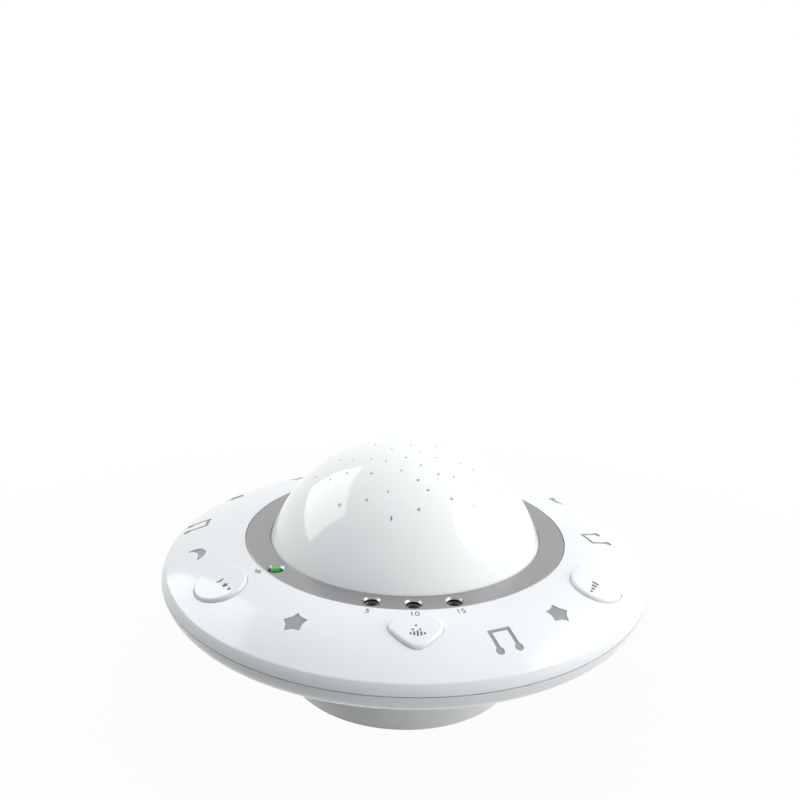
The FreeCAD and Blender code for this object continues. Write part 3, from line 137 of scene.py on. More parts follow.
def add_range(tree, source, span, result=(0.0, 1.0)):
    """Map a socket from one span to another."""
    node = tree.nodes.new("ShaderNodeMapRange")
    node.inputs["From Min"].default_value, node.inputs["From Max"].default_value = span
    node.inputs["To Min"].default_value, node.inputs["To Max"].default_value = result
    tree.links.new(source, node.inputs["Value"])
    return node.outputs["Result"]


def add_tint(tree, dark, light, factor):
    """Mix two colours by a factor socket."""
    node = tree.nodes.new("ShaderNodeMix")
    node.data_type = "RGBA"
    node.inputs["A"].default_value = (*dark, 1)
    node.inputs["B"].default_value = (*light, 1)
    tree.links.new(factor, node.inputs["Factor"])
    return node.outputs["Result"]


def add_bump(tree, height, depth, shader):
    """Feed a height socket to a shader's normal. Depth is the relief in metres."""
    node = tree.nodes.new("ShaderNodeBump")
    node.inputs["Distance"].default_value = depth
    tree.links.new(height, node.inputs["Height"])
    tree.links.new(node.outputs["Normal"], shader.inputs["Normal"])


print("shader helpers ready")

# %% [markdown]
# The table is a pale plane. Camera, mirror and clear rays see it whitened, more with distance, so the
# background is white right up to the horizon while the lamp's own shadow still shows near it. From
# below the table is clear, so that the lamp's underside can be looked at.

# %% Table
TABLE_SIZE = 12.0
FADE_REACH = (0.08, 0.30)
FADE_SHARE = (0.96, 1.0)
bpy.ops.mesh.primitive_plane_add(size=TABLE_SIZE)
table = bpy.context.object
table.name = "table_top"
paper = bpy.data.materials.new("pale_table")
paper.use_nodes = True
paper_tree = paper.node_tree
links = paper_tree.links
parts = paper_tree.nodes
surface = parts["Principled BSDF"]
surface.inputs["Base Color"].default_value = (0.36, 0.36, 0.355, 1)
surface.inputs["Roughness"].default_value = 0.9
whitener = parts.new("ShaderNodeEmission")
whitener.inputs["Color"].default_value = (1, 1, 1, 1)
whitener.inputs["Strength"].default_value = 1.0
rays = parts.new("ShaderNodeLightPath")
seen = add_math(paper_tree, "MAXIMUM", rays.outputs["Is Camera Ray"], rays.outputs["Is Glossy Ray"])
seen_through = add_math(paper_tree, "MAXIMUM", seen, rays.outputs["Is Transmission Ray"])
spot = parts.new("ShaderNodeTexCoord")
reach = parts.new("ShaderNodeVectorMath")
reach.operation = "LENGTH"
links.new(spot.outputs["Object"], reach.inputs[0])
fade = add_range(paper_tree, reach.outputs["Value"], FADE_REACH, FADE_SHARE)
share = add_math(paper_tree, "MULTIPLY", seen_through, fade)
blend = parts.new("ShaderNodeMixShader")
links.new(share, blend.inputs["Fac"])
links.new(surface.outputs["BSDF"], blend.inputs[1])
links.new(whitener.outputs["Emission"], blend.inputs[2])
clear = parts.new("ShaderNodeBsdfTransparent")
side_seen = parts.new("ShaderNodeNewGeometry")
one_way = parts.new("ShaderNodeMixShader")
links.new(side_seen.outputs["Backfacing"], one_way.inputs["Fac"])
links.new(blend.outputs["Shader"], one_way.inputs[1])
links.new(clear.outputs["BSDF"], one_way.inputs[2])
links.new(one_way.outputs["Shader"], parts["Material Output"].inputs["Surface"])
table.data.materials.append(paper)
print("table", TABLE_SIZE, "m")

# %% [markdown]
# The studio has two softboxes that the glossy dome mirrors: a rectangle on the left, a little behind
# the lamp, and a larger oval on the right. A third hangs overhead, a low one on the right reaches
# the rim and the dish below it, and a dim world fills the rest.

# %% Softboxes and sky
SOFTBOX_AIM = Vector((0, 0, 0.05))


def softbox(name, bearing, height, distance, width, depth, power, shape="RECTANGLE", mirrored=True):
    """Area lamp aimed at the dome. Bearing from the front and height are in degrees, lengths in metres."""
    data = bpy.data.lights.new(name, "AREA")
    data.shape = shape
    data.size = width
    data.size_y = depth
    data.energy = power
    lamp = bpy.data.objects.new(name, data)
    side, lift = math.radians(bearing), math.radians(height)
    direction = Vector((math.sin(side) * math.cos(lift), -math.cos(side) * math.cos(lift), math.sin(lift)))
    lamp.location = SOFTBOX_AIM + direction * distance
    lamp.rotation_euler = (-direction).to_track_quat("-Z", "Y").to_euler()
    lamp.visible_glossy = mirrored
    bpy.context.scene.collection.objects.link(lamp)


softbox("left_softbox", -117, 34, 0.9, 0.74, 0.54, 2.6)
softbox("right_softbox", 93, 35, 0.9, 1.0, 0.8, 4.8, shape="ELLIPSE")
softbox("overhead_softbox", 170, 78, 1.2, 1.3, 1.3, 7.0, mirrored=False)
softbox("low_softbox", 58, 5, 0.9, 0.7, 0.3, 3.2, mirrored=False)
world = bpy.data.worlds.new("studio_sky")
bpy.context.scene.world = world
world.use_nodes = True
sky_links = world.node_tree.links
sky_parts = world.node_tree.nodes
sky_parts.clear()
sky_rays = sky_parts.new("ShaderNodeLightPath")
sky_seen = add_math(world.node_tree, "MAXIMUM", sky_rays.outputs["Is Camera Ray"],
                    sky_rays.outputs["Is Glossy Ray"])
sky_seen_through = add_math(world.node_tree, "MAXIMUM", sky_seen, sky_rays.outputs["Is Transmission Ray"])
white = sky_parts.new("ShaderNodeBackground")
white.inputs["Color"].default_value = (1, 1, 1, 1)
dim = sky_parts.new("ShaderNodeBackground")
dim.inputs["Color"].default_value = (0.90, 0.95, 1.0, 1)
dim.inputs["Strength"].default_value = 0.30
sky_mix = sky_parts.new("ShaderNodeMixShader")
sky_links.new(sky_seen_through, sky_mix.inputs["Fac"])
sky_links.new(dim.outputs["Background"], sky_mix.inputs[1])
sky_links.new(white.outputs["Background"], sky_mix.inputs[2])
sky_out = sky_parts.new("ShaderNodeOutputWorld")
sky_links.new(sky_mix.outputs["Shader"], sky_out.inputs["Surface"])
bpy.context.scene.view_settings.view_transform = "Standard"
print(len(bpy.data.lights), "softboxes")

# %% [markdown]
# Moulded plastic is never quite even: the mould leaves a faint orange-peel, and the colour and the
# gloss drift a little over a hand's width, and dust lies in specks. One node group makes all three from
# Object coordinates, which are metres here, and each plastic below uses it with its own grain.

# %% Node group for moulded surfaces
DRIFT_SCALE = 28.0
SPECK_SCALE = 2600.0
SPECK_SPAN = (0.70, 0.80)


def new_group(name, inputs, outputs):
    """Shader node group with named sockets. Each is (name, socket type, default)."""
    group = bpy.data.node_groups.new(name, "ShaderNodeTree")
    for label, kind, default in inputs:
        socket = group.interface.new_socket(label, in_out="INPUT", socket_type=kind)
        if default is not None:
            socket.default_value = default
    for label, kind in outputs:
        group.interface.new_socket(label, in_out="OUTPUT", socket_type=kind)
    return group, group.nodes.new("NodeGroupInput"), group.nodes.new("NodeGroupOutput")


moulded, entry, leave = new_group(
    "moulded_skin",
    [("Coordinates", "NodeSocketVector", None), ("Grain", "NodeSocketFloat", 900.0)],
    [("Height", "NodeSocketFloat"), ("Mottle", "NodeSocketFloat"), ("Dust", "NodeSocketFloat")])
fine = moulded.nodes.new("ShaderNodeTexNoise")
fine.inputs["Detail"].default_value = 3.0
moulded.links.new(entry.outputs["Coordinates"], fine.inputs["Vector"])
moulded.links.new(entry.outputs["Grain"], fine.inputs["Scale"])
moulded.links.new(fine.outputs["Fac"], leave.inputs["Height"])
broad = moulded.nodes.new("ShaderNodeTexNoise")
broad.inputs["Scale"].default_value = DRIFT_SCALE
broad.inputs["Detail"].default_value = 2.0
moulded.links.new(entry.outputs["Coordinates"], broad.inputs["Vector"])
moulded.links.new(broad.outputs["Fac"], leave.inputs["Mottle"])
speck = moulded.nodes.new("ShaderNodeTexNoise")
speck.inputs["Scale"].default_value = SPECK_SCALE
speck.inputs["Detail"].default_value = 1.0
moulded.links.new(entry.outputs["Coordinates"], speck.inputs["Vector"])
thin_out = add_range(moulded, speck.outputs["Fac"], SPECK_SPAN)
moulded.links.new(thin_out, leave.inputs["Dust"])
print("group", moulded.name)

# %% [markdown]
# A helper turns a pair of near colours into a finished plastic: the mottle mixes the two, drives the
# roughness between two values and dust dulls it in specks, while the grain feeds a bump a few microns
# deep. What is the same all over stays on the shader's own sockets.

# %% Helper for plastics
MOTTLE_SPAN = (0.3, 0.7)
DUST_DULLING = 0.25


def moulded_material(name, light, dark, rough, depth, grain=900.0, **sockets):
    """Plastic, rubber or paint on the moulded skin. Depth is the bump's height in metres."""
    material = bpy.data.materials.new(name)
    material.use_nodes = True
    tree = material.node_tree
    shader = tree.nodes["Principled BSDF"]
    coordinates = tree.nodes.new("ShaderNodeTexCoord")
    skin = tree.nodes.new("ShaderNodeGroup")
    skin.node_tree = moulded
    skin.inputs["Grain"].default_value = grain
    tree.links.new(coordinates.outputs["Object"], skin.inputs["Coordinates"])
    tint = add_tint(tree, dark, light, skin.outputs["Mottle"])
    tree.links.new(tint, shader.inputs["Base Color"])
    gloss = add_range(tree, skin.outputs["Mottle"], MOTTLE_SPAN, rough)
    dusty = tree.nodes.new("ShaderNodeMath")
    dusty.operation = "MULTIPLY_ADD"
    dusty.inputs[1].default_value = DUST_DULLING
    tree.links.new(skin.outputs["Dust"], dusty.inputs[0])
    tree.links.new(gloss, dusty.inputs[2])
    tree.links.new(dusty.outputs[0], shader.inputs["Roughness"])
    add_bump(tree, skin.outputs["Height"], depth, shader)
    for socket, number in sockets.items():
        shader.inputs[socket.replace("_", " ")].default_value = number
    return material


shell_white = moulded_material("gloss_white_shell", (0.83, 0.85, 0.86), (0.80, 0.82, 0.83), (0.14, 0.22),
                               3e-6, IOR=1.5, Coat_Weight=0.35, Coat_Roughness=0.06)
# The dome's faint white emission is a painted glow: it brightens the whole shell evenly, standing in for
# light that the lamps don't give it.
dome_milk_and_painted_glow = moulded_material("milky_dome_painted_glow", (0.82, 0.85, 0.85), (0.78, 0.81, 0.81), (0.08, 0.14),
                             2e-6, grain=500.0, IOR=1.52, Coat_Weight=0.5, Coat_Roughness=0.04,
                             Emission_Color=(0.97, 1.0, 1.0, 1), Emission_Strength=0.11)
trim_silver = moulded_material("satin_silver_ring", (0.36, 0.353, 0.36), (0.31, 0.305, 0.31), (0.30, 0.40),
                               6e-6, grain=3800.0, Metallic=0.7, IOR=1.5)
ornament_silver = moulded_material("silver_ornament", (0.31, 0.315, 0.32), (0.27, 0.275, 0.28), (0.38, 0.5),
                                   5e-6, grain=3000.0, Metallic=0.4)
print_ink = moulded_material("grey_print_ink", (0.11, 0.115, 0.12), (0.08, 0.085, 0.09), (0.45, 0.6),
                             2e-6, grain=3000.0)
black_plastic = moulded_material("black_plastic", (0.035, 0.035, 0.038), (0.022, 0.022, 0.025), (0.42, 0.55),
                                 1.2e-5, grain=2200.0)
black_rubber = moulded_material("black_rubber", (0.045, 0.045, 0.046), (0.03, 0.03, 0.031), (0.7, 0.85),
                                2e-5, grain=1800.0)
foot_rubber = moulded_material("grey_foot_rubber", (0.50, 0.50, 0.49), (0.42, 0.42, 0.41), (0.75, 0.9),
                               3e-5, grain=1500.0)
tray_white = moulded_material("matt_white_tray", (0.84, 0.84, 0.83), (0.79, 0.79, 0.78), (0.55, 0.68),
                              1e-5, grain=1600.0)
print("plastics and rubbers done")

# %% [markdown]
# Small metal parts show where the tool went: pressed steel, zinc plate and nickel have fine lines and
# a slight stain. The second group stretches a noise along one axis for the lines and adds the stain.

# %% Node group and helper for metals
TOOL_LINE_DEPTH = 4e-6
worked, entry, leave = new_group(
    "worked_metal",
    [("Coordinates", "NodeSocketVector", None), ("Line scale", "NodeSocketFloat", 700.0)],
    [("Height", "NodeSocketFloat"), ("Stain", "NodeSocketFloat")])
squeeze = worked.nodes.new("ShaderNodeMapping")
squeeze.inputs["Scale"].default_value = (1.0, 0.06, 1.0)
worked.links.new(entry.outputs["Coordinates"], squeeze.inputs["Vector"])
lines = worked.nodes.new("ShaderNodeTexNoise")
lines.inputs["Detail"].default_value = 4.0
worked.links.new(squeeze.outputs["Vector"], lines.inputs["Vector"])
worked.links.new(entry.outputs["Line scale"], lines.inputs["Scale"])
worked.links.new(lines.outputs["Fac"], leave.inputs["Height"])
stain = worked.nodes.new("ShaderNodeTexNoise")
stain.inputs["Scale"].default_value = 160.0
stain.inputs["Detail"].default_value = 3.0
worked.links.new(entry.outputs["Coordinates"], stain.inputs["Vector"])
worked.links.new(stain.outputs["Fac"], leave.inputs["Stain"])


def metal_material(name, light, dark, rough, line_scale=700.0):
    """Bare or plated metal with tool lines and a slight stain."""
    material = bpy.data.materials.new(name)
    material.use_nodes = True
    tree = material.node_tree
    shader = tree.nodes["Principled BSDF"]
    shader.inputs["Metallic"].default_value = 1.0
    coordinates = tree.nodes.new("ShaderNodeTexCoord")
    finish = tree.nodes.new("ShaderNodeGroup")
    finish.node_tree = worked
    finish.inputs["Line scale"].default_value = line_scale
    tree.links.new(coordinates.outputs["Object"], finish.inputs["Coordinates"])
    tint = add_tint(tree, dark, light, finish.outputs["Stain"])
    tree.links.new(tint, shader.inputs["Base Color"])
    gloss = add_range(tree, finish.outputs["Height"], (0.0, 1.0), rough)
    tree.links.new(gloss, shader.inputs["Roughness"])
    add_bump(tree, finish.outputs["Height"], TOOL_LINE_DEPTH, shader)
    return material


screw_steel = metal_material("zinc_plated_screw", (0.68, 0.68, 0.69), (0.52, 0.52, 0.54), (0.22, 0.4))
frame_steel = metal_material("pressed_steel", (0.60, 0.60, 0.61), (0.46, 0.46, 0.47), (0.3, 0.5), 420.0)
metal_can = metal_material("drawn_aluminium", (0.76, 0.76, 0.77), (0.66, 0.66, 0.67), (0.2, 0.34), 900.0)
contact_nickel = metal_material("nickel_contact", (0.80, 0.77, 0.72), (0.66, 0.63, 0.58), (0.16, 0.32),
                                1100.0)
print("metals done")

# %% [markdown]
# The four indicator lamps sit in dished wells. The three timer lamps are off, and their lenses are coloured
# near black: painted shade that stands in for the dark inside of the wells, so they read as black holes. The
# voice lamp is lit: a green lens that glows most in its middle.

# %% Lamp lenses
GLOW_REACH = 2.4 * MM
lamp_painted_black = moulded_material("lens_painted_black", (0.010, 0.009, 0.009), (0.005, 0.004, 0.005), (0.32, 0.4),
                              1e-6, IOR=1.25)
lamp_clear = moulded_material("clear_lens", (0.78, 0.80, 0.82), (0.70, 0.72, 0.75), (0.05, 0.1),
                              1e-6, IOR=1.5, Transmission_Weight=0.6)
lamp_green = moulded_material("lit_green_lens", (0.004, 0.10, 0.016), (0.003, 0.07, 0.012), (0.10, 0.16),
                              1e-6, IOR=1.3)
green_tree = lamp_green.node_tree
green_shader = green_tree.nodes["Principled BSDF"]
green_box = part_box("voice_lamp")
green_middle = (green_box[0] + green_box[1]) / 2
green_place = green_tree.nodes.new("ShaderNodeTexCoord")
from_middle = green_tree.nodes.new("ShaderNodeVectorMath")
from_middle.operation = "DISTANCE"
from_middle.inputs[1].default_value = (green_middle.x, green_middle.y, green_box[1].z)
green_tree.links.new(green_place.outputs["Object"], from_middle.inputs[0])
glow = add_range(green_tree, from_middle.outputs["Value"], (0.0, GLOW_REACH), (1.0, 0.0))
glow_tint = add_tint(green_tree, (0.001, 0.045, 0.006), (0.07, 0.66, 0.08), glow)
green_tree.links.new(glow_tint, green_shader.inputs["Emission Color"])
green_shader.inputs["Emission Strength"].default_value = 0.9
print("lenses done")

# %% [markdown]
# The boards are glass fibre under green solder mask. Copper tracks show through the mask as paler
# lines on a grid, which a brick pattern gives without any drawing.

# %% Board, cells and cone
board_green = moulded_material("solder_mask_board", (0.035, 0.20, 0.085), (0.02, 0.13, 0.055), (0.28, 0.4),
                               8e-6, grain=2400.0)
board_tree = board_green.node_tree
board_shader = board_tree.nodes["Principled BSDF"]
board_place = board_tree.nodes.new("ShaderNodeTexCoord")
tracks = board_tree.nodes.new("ShaderNodeTexBrick")
tracks.inputs["Scale"].default_value = 1.0
tracks.inputs["Brick Width"].default_value = 0.011
tracks.inputs["Row Height"].default_value = 0.0024
tracks.inputs["Mortar Size"].default_value = 0.00035
tracks.inputs["Color1"].default_value = (0.03, 0.17, 0.07, 1)
tracks.inputs["Color2"].default_value = (0.022, 0.14, 0.06, 1)
tracks.inputs["Mortar"].default_value = (0.07, 0.30, 0.13, 1)
board_tree.links.new(board_place.outputs["Object"], tracks.inputs["Vector"])
board_tree.links.new(tracks.outputs["Color"], board_shader.inputs["Base Color"])
cell_jacket = moulded_material("cell_jacket", (0.24, 0.28, 0.34), (0.19, 0.22, 0.28), (0.22, 0.32),
                               2e-6, Metallic=0.6)
cone_paper = moulded_material("black_cone_paper", (0.07, 0.07, 0.068), (0.045, 0.045, 0.044), (0.8, 0.95),
                              4e-5, grain=1300.0)
print("boards done")

# %% [markdown]
# The ring's lamp wells shine like bare metal while the ring round them is satin. They are one moulding,
# so the ring keeps one material, and a mask made from the distance to the four lamp axes tells the
# wells from the rest. Object coordinates with their height taken out give that distance.
# Inside the mask the ring's own colour, roughness and metal share give way to those of the wells.

# %% Shining wells in the ring
WELL_EDGE = 3.38 * MM
WELL_EDGE_BLUR = 0.12 * MM
WELL_COLOUR = (0.33, 0.325, 0.33, 1)
WELL_ROUGHNESS = 0.24
METAL_SHARES = (0.7, 1.0)
LAMP_NODES = ["timer_lamp_left", "timer_lamp_middle", "timer_lamp_right", "voice_lamp"]
wells, entry, leave = new_group(
    "well_mask", [("Coordinates", "NodeSocketVector", None)], [("Mask", "NodeSocketFloat")])
flat_place = wells.nodes.new("ShaderNodeVectorMath")
flat_place.operation = "MULTIPLY"
flat_place.inputs[1].default_value = (1, 1, 0)
wells.links.new(entry.outputs["Coordinates"], flat_place.inputs[0])
nearest = None
for name in LAMP_NODES:
    low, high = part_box(name)
    axis_distance = wells.nodes.new("ShaderNodeVectorMath")
    axis_distance.operation = "DISTANCE"
    axis_distance.inputs[1].default_value = ((low.x + high.x) / 2, (low.y + high.y) / 2, 0)
    wells.links.new(flat_place.outputs[0], axis_distance.inputs[0])
    if nearest is None:
        nearest = axis_distance.outputs["Value"]
    else:
        nearest = add_math(wells, "MINIMUM", nearest, axis_distance.outputs["Value"])
well_step = add_range(wells, nearest, (WELL_EDGE, WELL_EDGE - WELL_EDGE_BLUR))
wells.links.new(well_step, leave.inputs["Mask"])
ring_tree = trim_silver.node_tree
ring_shader = ring_tree.nodes["Principled BSDF"]
ring_place = ring_tree.nodes.new("ShaderNodeTexCoord")
well_mask = ring_tree.nodes.new("ShaderNodeGroup")
well_mask.node_tree = wells
ring_tree.links.new(ring_place.outputs["Object"], well_mask.inputs["Coordinates"])
bright = ring_tree.nodes.new("ShaderNodeMix")
bright.data_type = "RGBA"
bright.inputs["B"].default_value = WELL_COLOUR
ring_tree.links.new(ring_shader.inputs["Base Color"].links[0].from_socket, bright.inputs["A"])
ring_tree.links.new(well_mask.outputs["Mask"], bright.inputs["Factor"])
ring_tree.links.new(bright.outputs["Result"], ring_shader.inputs["Base Color"])
polish = ring_tree.nodes.new("ShaderNodeMix")
polish.inputs["B"].default_value = WELL_ROUGHNESS
ring_tree.links.new(ring_shader.inputs["Roughness"].links[0].from_socket, polish.inputs["A"])
ring_tree.links.new(well_mask.outputs["Mask"], polish.inputs["Factor"])
ring_tree.links.new(polish.outputs["Result"], ring_shader.inputs["Roughness"])
metal_share = add_range(ring_tree, well_mask.outputs["Mask"], (0.0, 1.0), METAL_SHARES)
ring_tree.links.new(metal_share, ring_shader.inputs["Metallic"])
print("wells masked round", len(LAMP_NODES), "lamps")

# %% [markdown]
# The dome is a thin milky cap. A UV sphere is cut off at the height of the ring, its open edge is
# pulled out into the flange that the ring holds down, and Solidify turns the skin into a wall.

# %% Dome blank
DOME_RADIUS = 55.7 * MM
DOME_WALL = 1.6 * MM
WELD_DISTANCE = 1e-6
dome_low, dome_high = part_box("dome")
dome_middle = Vector((0, 0, dome_high.z - DOME_RADIUS))
flange_top = dome_low.z + DOME_WALL
clear_selection()
bpy.ops.mesh.primitive_uv_sphere_add(segments=160, ring_count=110, radius=DOME_RADIUS, location=dome_middle)
star_dome = bpy.context.object
bpy.ops.object.transform_apply(location=True)
bpy.ops.object.mode_set(mode="EDIT")
bpy.ops.mesh.select_all(action="SELECT")
bpy.ops.mesh.bisect(plane_co=(0, 0, flange_top), plane_no=(0, 0, 1), clear_inner=True)
edge_radius = math.sqrt(DOME_RADIUS ** 2 - (flange_top - dome_middle.z) ** 2)
spread = dome_high.x / edge_radius
bpy.ops.mesh.extrude_edges_move()
bpy.ops.transform.resize(value=(spread, spread, 1), center_override=(0, 0, flange_top))
bpy.ops.mesh.select_all(action="SELECT")
bpy.ops.mesh.remove_doubles(threshold=WELD_DISTANCE)
bpy.ops.mesh.normals_make_consistent(inside=False)
apply_modifier(star_dome, "SOLIDIFY", thickness=DOME_WALL, offset=-1.0)
print("dome blank", len(star_dome.data.polygons), "faces, open edge at", round(edge_radius / MM, 2), "mm")

# %% [markdown]
# Light leaves the dome through small stars, crescents and dots. Each figure is drawn flat: a star is
# a ring of ten points with every second one pulled in, and a crescent is a disc with its left half
# folded over. The same flat figures serve later for the prints on the deck.

# %% Flat figures
STAR_WAIST = 0.5
ON_AXIS = 1e-7


def flat_star(size):
    """Five-pointed star on the XY plane."""
    clear_selection()
    bpy.ops.mesh.primitive_circle_add(vertices=10, radius=size, fill_type="NGON")
    figure = bpy.context.object
    for vertex in list(figure.data.vertices)[1::2]:
        vertex.co *= STAR_WAIST
    return figure


def flat_moon(size, fold=0.35):
    """Crescent on the XY plane, its horns up and down."""
    clear_selection()
    bpy.ops.mesh.primitive_circle_add(vertices=28, radius=size, fill_type="NGON")
    figure = bpy.context.object
    for vertex in figure.data.vertices:
        if vertex.co.x < -ON_AXIS:
            vertex.co.x *= -fold
    return figure


def flat_dot(size):
    """Disc on the XY plane."""
    clear_selection()
    bpy.ops.mesh.primitive_circle_add(vertices=20, radius=size, fill_type="NGON")
    return bpy.context.object


for draw in (flat_star, flat_moon, flat_dot):
    sample = draw(1.0 * MM)
    print(draw.__name__, len(sample.data.vertices), "points")
    bpy.data.objects.remove(sample)

# %% [markdown]
# Each opening is listed with its tilt from the top and its bearing from the front in degrees, its
# figure and its size in millimetres. The flat figure is pulled up into a short prism that stands across
# the wall, aimed from the dome's middle. All the prisms are joined, and one boolean cuts them out. The
# lamps' barrels need a notch each in the flange, so four cylinders go in with them.

# %% Openings in the dome
OPENINGS = [
    (4, 14, flat_dot, 0.45), (9, -47, flat_dot, 0.5), (10, 26, flat_dot, 0.5), (12, 72, flat_star, 0.8),
    (13, -92, flat_dot, 0.5), (14, -6, flat_star, 0.75), (16, 40, flat_star, 0.85), (16, 105, flat_dot, 0.5),
    (18, -31, flat_dot, 0.45), (19, -52, flat_dot, 0.5), (19, 13, flat_star, 0.8), (20, 88, flat_dot, 0.5),
    (22, -9, flat_dot, 0.5), (24, -68, flat_dot, 0.5), (24, 61, flat_dot, 0.5), (25, 26, flat_dot, 0.6),
    (26, -100, flat_dot, 0.5), (26, -36, flat_star, 0.95), (27, 6, flat_dot, 0.65),
    (28, -82, flat_star, 0.75), (28, 38, flat_dot, 0.45), (28, 102, flat_dot, 0.5),
    (29, 65, flat_star, 0.85), (30, -57, flat_star, 0.85),
    (32, 12, flat_dot, 0.6), (33, -99, flat_dot, 0.5), (33, -17, flat_moon, 0.85), (35, 53, flat_moon, 0.85),
    (35, 89, flat_dot, 0.55), (36, -65, flat_dot, 0.5), (37, 26, flat_dot, 0.65), (38, -28, flat_star, 0.95),
    (38, 74, flat_moon, 0.8), (40, -82, flat_dot, 0.6), (40, 4, flat_star, 1.0), (42, 37, flat_moon, 0.95),
    (42, 63, flat_moon, 0.95), (43, -43, flat_star, 1.1), (44, -12, flat_moon, 1.15),
    (20, 150, flat_star, 0.8), (22, -160, flat_dot, 0.5), (27, 180, flat_moon, 0.8),
    (36, 128, flat_star, 0.9), (37, -145, flat_moon, 0.9), (38, 165, flat_dot, 0.6),
    (40, -112, flat_star, 0.9),
]
PRISM_HEIGHT = 4 * DOME_WALL
PRISM_DEPTH = 2.5 * DOME_WALL
NOTCH_RADIUS = 2.95 * MM
prisms = []
for tilt, bearing, draw, size in OPENINGS:
    prism = draw(size * MM)
    bpy.ops.object.mode_set(mode="EDIT")
    bpy.ops.mesh.select_all(action="SELECT")
    bpy.ops.mesh.extrude_region_move(TRANSFORM_OT_translate={"value": (0, 0, PRISM_HEIGHT)})
    bpy.ops.object.mode_set(mode="OBJECT")
    slant, side = math.radians(tilt), math.radians(bearing)
    outward = Vector((math.sin(slant) * math.sin(side), -math.sin(slant) * math.cos(side), math.cos(slant)))
    prism.rotation_euler = (slant, 0, side)
    prism.location = dome_middle + outward * (DOME_RADIUS - PRISM_DEPTH)
    prisms.append(prism)
for name in LAMP_NODES:
    low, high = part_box(name)
    clear_selection()
    bpy.ops.mesh.primitive_cylinder_add(vertices=32, radius=NOTCH_RADIUS, depth=2 * DOME_WALL,
                                        location=((low.x + high.x) / 2, (low.y + high.y) / 2, flange_top))
    prisms.append(bpy.context.object)
clear_selection()
for prism in prisms:
    prism.select_set(True)
bpy.context.view_layer.objects.active = prisms[0]
bpy.ops.object.join()
cutter = bpy.context.object
bpy.ops.object.transform_apply(location=True, rotation=True, scale=True)
bpy.ops.object.mode_set(mode="EDIT")
bpy.ops.mesh.select_all(action="SELECT")
bpy.ops.mesh.normals_make_consistent(inside=False)
bpy.ops.object.mode_set(mode="OBJECT")
apply_modifier(star_dome, "BOOLEAN", operation="DIFFERENCE", solver="EXACT", object=cutter)
bpy.data.objects.remove(cutter)
print(len(prisms), "cuts,", len(star_dome.data.polygons), "faces")

# %% [markdown]
# Cutting leaves long thin faces round each opening, and smooth shading would show them as creases in
# the dome's reflections. The dome is a true sphere, so its outer corners are given the sphere's own
# normals, and the walls of the openings keep their flat ones.

# %% Clean reflections on the dome
SHARP_ANGLE = math.radians(30)
OUTER_SLACK = 0.02 * MM
FACING_OUT = 0.8
pick(star_dome)
bpy.ops.object.shade_smooth_by_angle(angle=SHARP_ANGLE)
dome_mesh = star_dome.data
corner_normals = []
for face in dome_mesh.polygons:
    for loop in face.loop_indices:
        own_normal = dome_mesh.corner_normals[loop].vector.copy()
        place = dome_mesh.vertices[dome_mesh.loops[loop].vertex_index].co - dome_middle
        outward = place.normalized()
        on_sphere = abs(place.length - DOME_RADIUS) < OUTER_SLACK
        corner_normals.append(outward if on_sphere and face.normal.dot(outward) > FACING_OUT else own_normal)
dome_mesh.normals_split_custom_set(corner_normals)
settle(star_dome, "star_dome", dome_milk_and_painted_glow, "lamp")
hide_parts("dome")

# %% [markdown]
# The deck carries small grey prints: the minutes 5, 10 and 15 beside the timer lamps, and plain signs
# for sound and night. A print has no thickness that shows, so each is a flat figure that is dropped
# straight down on the piece that carries it and stays a few hundredths of a millimetre clear of it.

# %% Helper for prints
PRINT_LIFT = 0.04 * MM
DROP_HEIGHT = 120 * MM


def join_figures(figures):
    """Make one object of several flat figures."""
    clear_selection()
    for figure in figures:
        figure.select_set(True)
    bpy.context.view_layer.objects.active = figures[0]
    bpy.ops.object.join()
    joined = bpy.context.object
    bpy.ops.object.transform_apply(location=True, rotation=True, scale=True)
    return joined


def lay_print(figure, name, node, body, radius, bearing):
    """Turn a flat figure to its bearing, drop it on a node and settle it there."""
    side = math.radians(bearing)
    figure.rotation_euler = (0, 0, side)
    figure.location = (radius * math.sin(side), -radius * math.cos(side), DROP_HEIGHT)
    pick(figure)
    bpy.ops.object.transform_apply(location=True, rotation=True, scale=True)
    apply_modifier(figure, "SHRINKWRAP", target=nodes[node], wrap_method="PROJECT", use_project_z=True,
                   use_positive_direction=False, use_negative_direction=True, offset=PRINT_LIFT)
    settle(figure, name, print_ink, body)


def bars(heights, width, pitch, foot=None):
    """Row of upright bars on the XY plane, in millimetres. They stand on a foot line, or are centred."""
    figures = []
    for number, height in enumerate(heights):
        clear_selection()
        bpy.ops.mesh.primitive_plane_add(size=1)
        bar = bpy.context.object
        bar.scale = (width * MM, height * MM, 1)
        middle = 0 if foot is None else height / 2 + foot
        bar.location = ((number - (len(heights) - 1) / 2) * pitch * MM, middle * MM, 0)
        figures.append(bar)
    return join_figures(figures)


# %% [markdown]
# The numbers start as text objects. They are turned into meshes before they are placed, because a
# text object can't be shrink-wrapped and wouldn't keep its place in its mesh.

# %% Minutes beside the timer lamps
NUMBER_SIZE = 3.6 * MM
NUMBER_CIRCLE = 65.4 * MM
LAMP_PITCH = 14.0
for place_number, minutes in enumerate(("5", "10", "15"), start=-1):
    clear_selection()
    bpy.ops.object.text_add()
    number = bpy.context.object
    number.data.body = minutes
    number.data.size = NUMBER_SIZE
    number.data.align_x = "CENTER"
    number.data.align_y = "CENTER"
    bpy.ops.object.convert(target="MESH")
    number = bpy.context.object
    lay_print(number, f"minutes_{minutes}", "upper_shell", "lamp", NUMBER_CIRCLE, place_number * LAMP_PITCH)

# %% [markdown]
# The pads are known by signs: a crescent and two stars for the light, rising bars for the loudness,
# and a short burst of bars, as a sound makes on a meter, for the microphone and for the voice lamp.

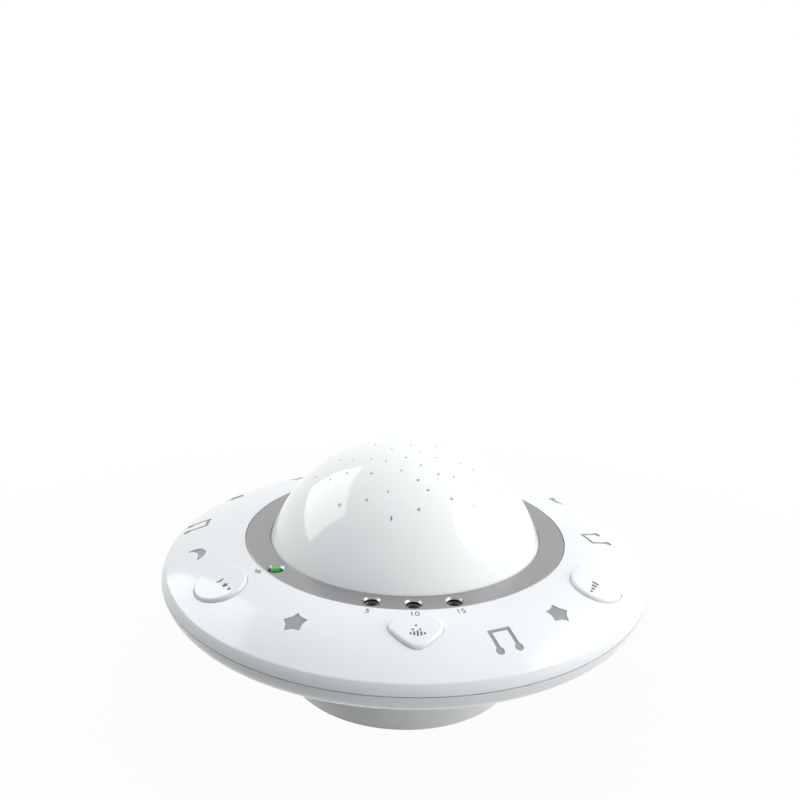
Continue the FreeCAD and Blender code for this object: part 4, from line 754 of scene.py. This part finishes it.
# %% Signs on the pads
PAD_SIGN_CIRCLE = 78.7 * MM
moon_sign = flat_moon(1.5 * MM, 0.4)
moon_sign.location = (-4.2 * MM, 0, 0)
star_sign = flat_star(1.4 * MM)
star_sign.location = (0.6 * MM, 0, 0)
small_star = flat_star(0.9 * MM)
small_star.location = (3.8 * MM, 0, 0)
lay_print(join_figures([moon_sign, star_sign, small_star]), "mode_sign", "mode_button", "mode_pad",
          PAD_SIGN_CIRCLE, -57.2)
lay_print(bars((0.8, 1.2, 1.7, 2.3), 1.1, 2.0, foot=-1.1), "volume_sign", "volume_button", "volume_pad",
          PAD_SIGN_CIRCLE, 56.3)
lay_print(bars((0.9, 1.7, 2.4, 1.7, 0.9), 0.6, 1.15), "mic_sign", "mic_pad", "lamp", 76.9 * MM, 0.3)
lay_print(bars((1.1, 2.4, 1.6), 0.6, 1.2), "voice_sign", "upper_shell", "lamp", 65.0 * MM, -57.9)

# %% [markdown]
# Every CAD node whose shape is right stays and takes its finish here, by name.

# %% Finishes of the CAD nodes
FINISHES = {
    shell_white: ["upper_shell", "lower_shell", "mode_button", "volume_button", "mic_pad", "battery_door"],
    trim_silver: ["bezel_ring"],
    ornament_silver: ["star_inlays", "note_inlays", "moon_inlays"],
    black_plastic: ["mode_switch_body", "volume_switch_body", "mode_switch_plunger", "volume_switch_plunger",
                    "control_chip", "power_switch_body", "power_switch_slider"],
    black_rubber: ["mic_boot"],
    metal_can: ["mic_capsule", "board_capacitors"],
    lamp_painted_black: ["timer_lamp_left", "timer_lamp_middle", "timer_lamp_right"],
    lamp_green: ["voice_lamp"],
    lamp_clear: ["projection_lamps"],
    board_green: ["control_board", "lamp_board"],
    screw_steel: ["board_screws", "tray_screws", "lamp_board_screws", "case_screws", "battery_door_screw"],
    tray_white: ["reflector_tray"],
    frame_steel: ["speaker_frame", "speaker_magnet"],
    cone_paper: ["speaker_cone"],
    cell_jacket: ["battery_left", "battery_middle", "battery_right"],
    contact_nickel: ["battery_plate_contacts", "battery_spring_contacts"],
    foot_rubber: ["rubber_foot_1", "rubber_foot_2", "rubber_foot_3", "rubber_foot_4"],
}
for finish, names in FINISHES.items():
    for name in names:
        for node_slot in nodes[name].material_slots:
            node_slot.material = finish
unfinished = sorted(set(nodes) - {"dome"} - {name for names in FINISHES.values() for name in names})
print("nodes without a finish:", unfinished)
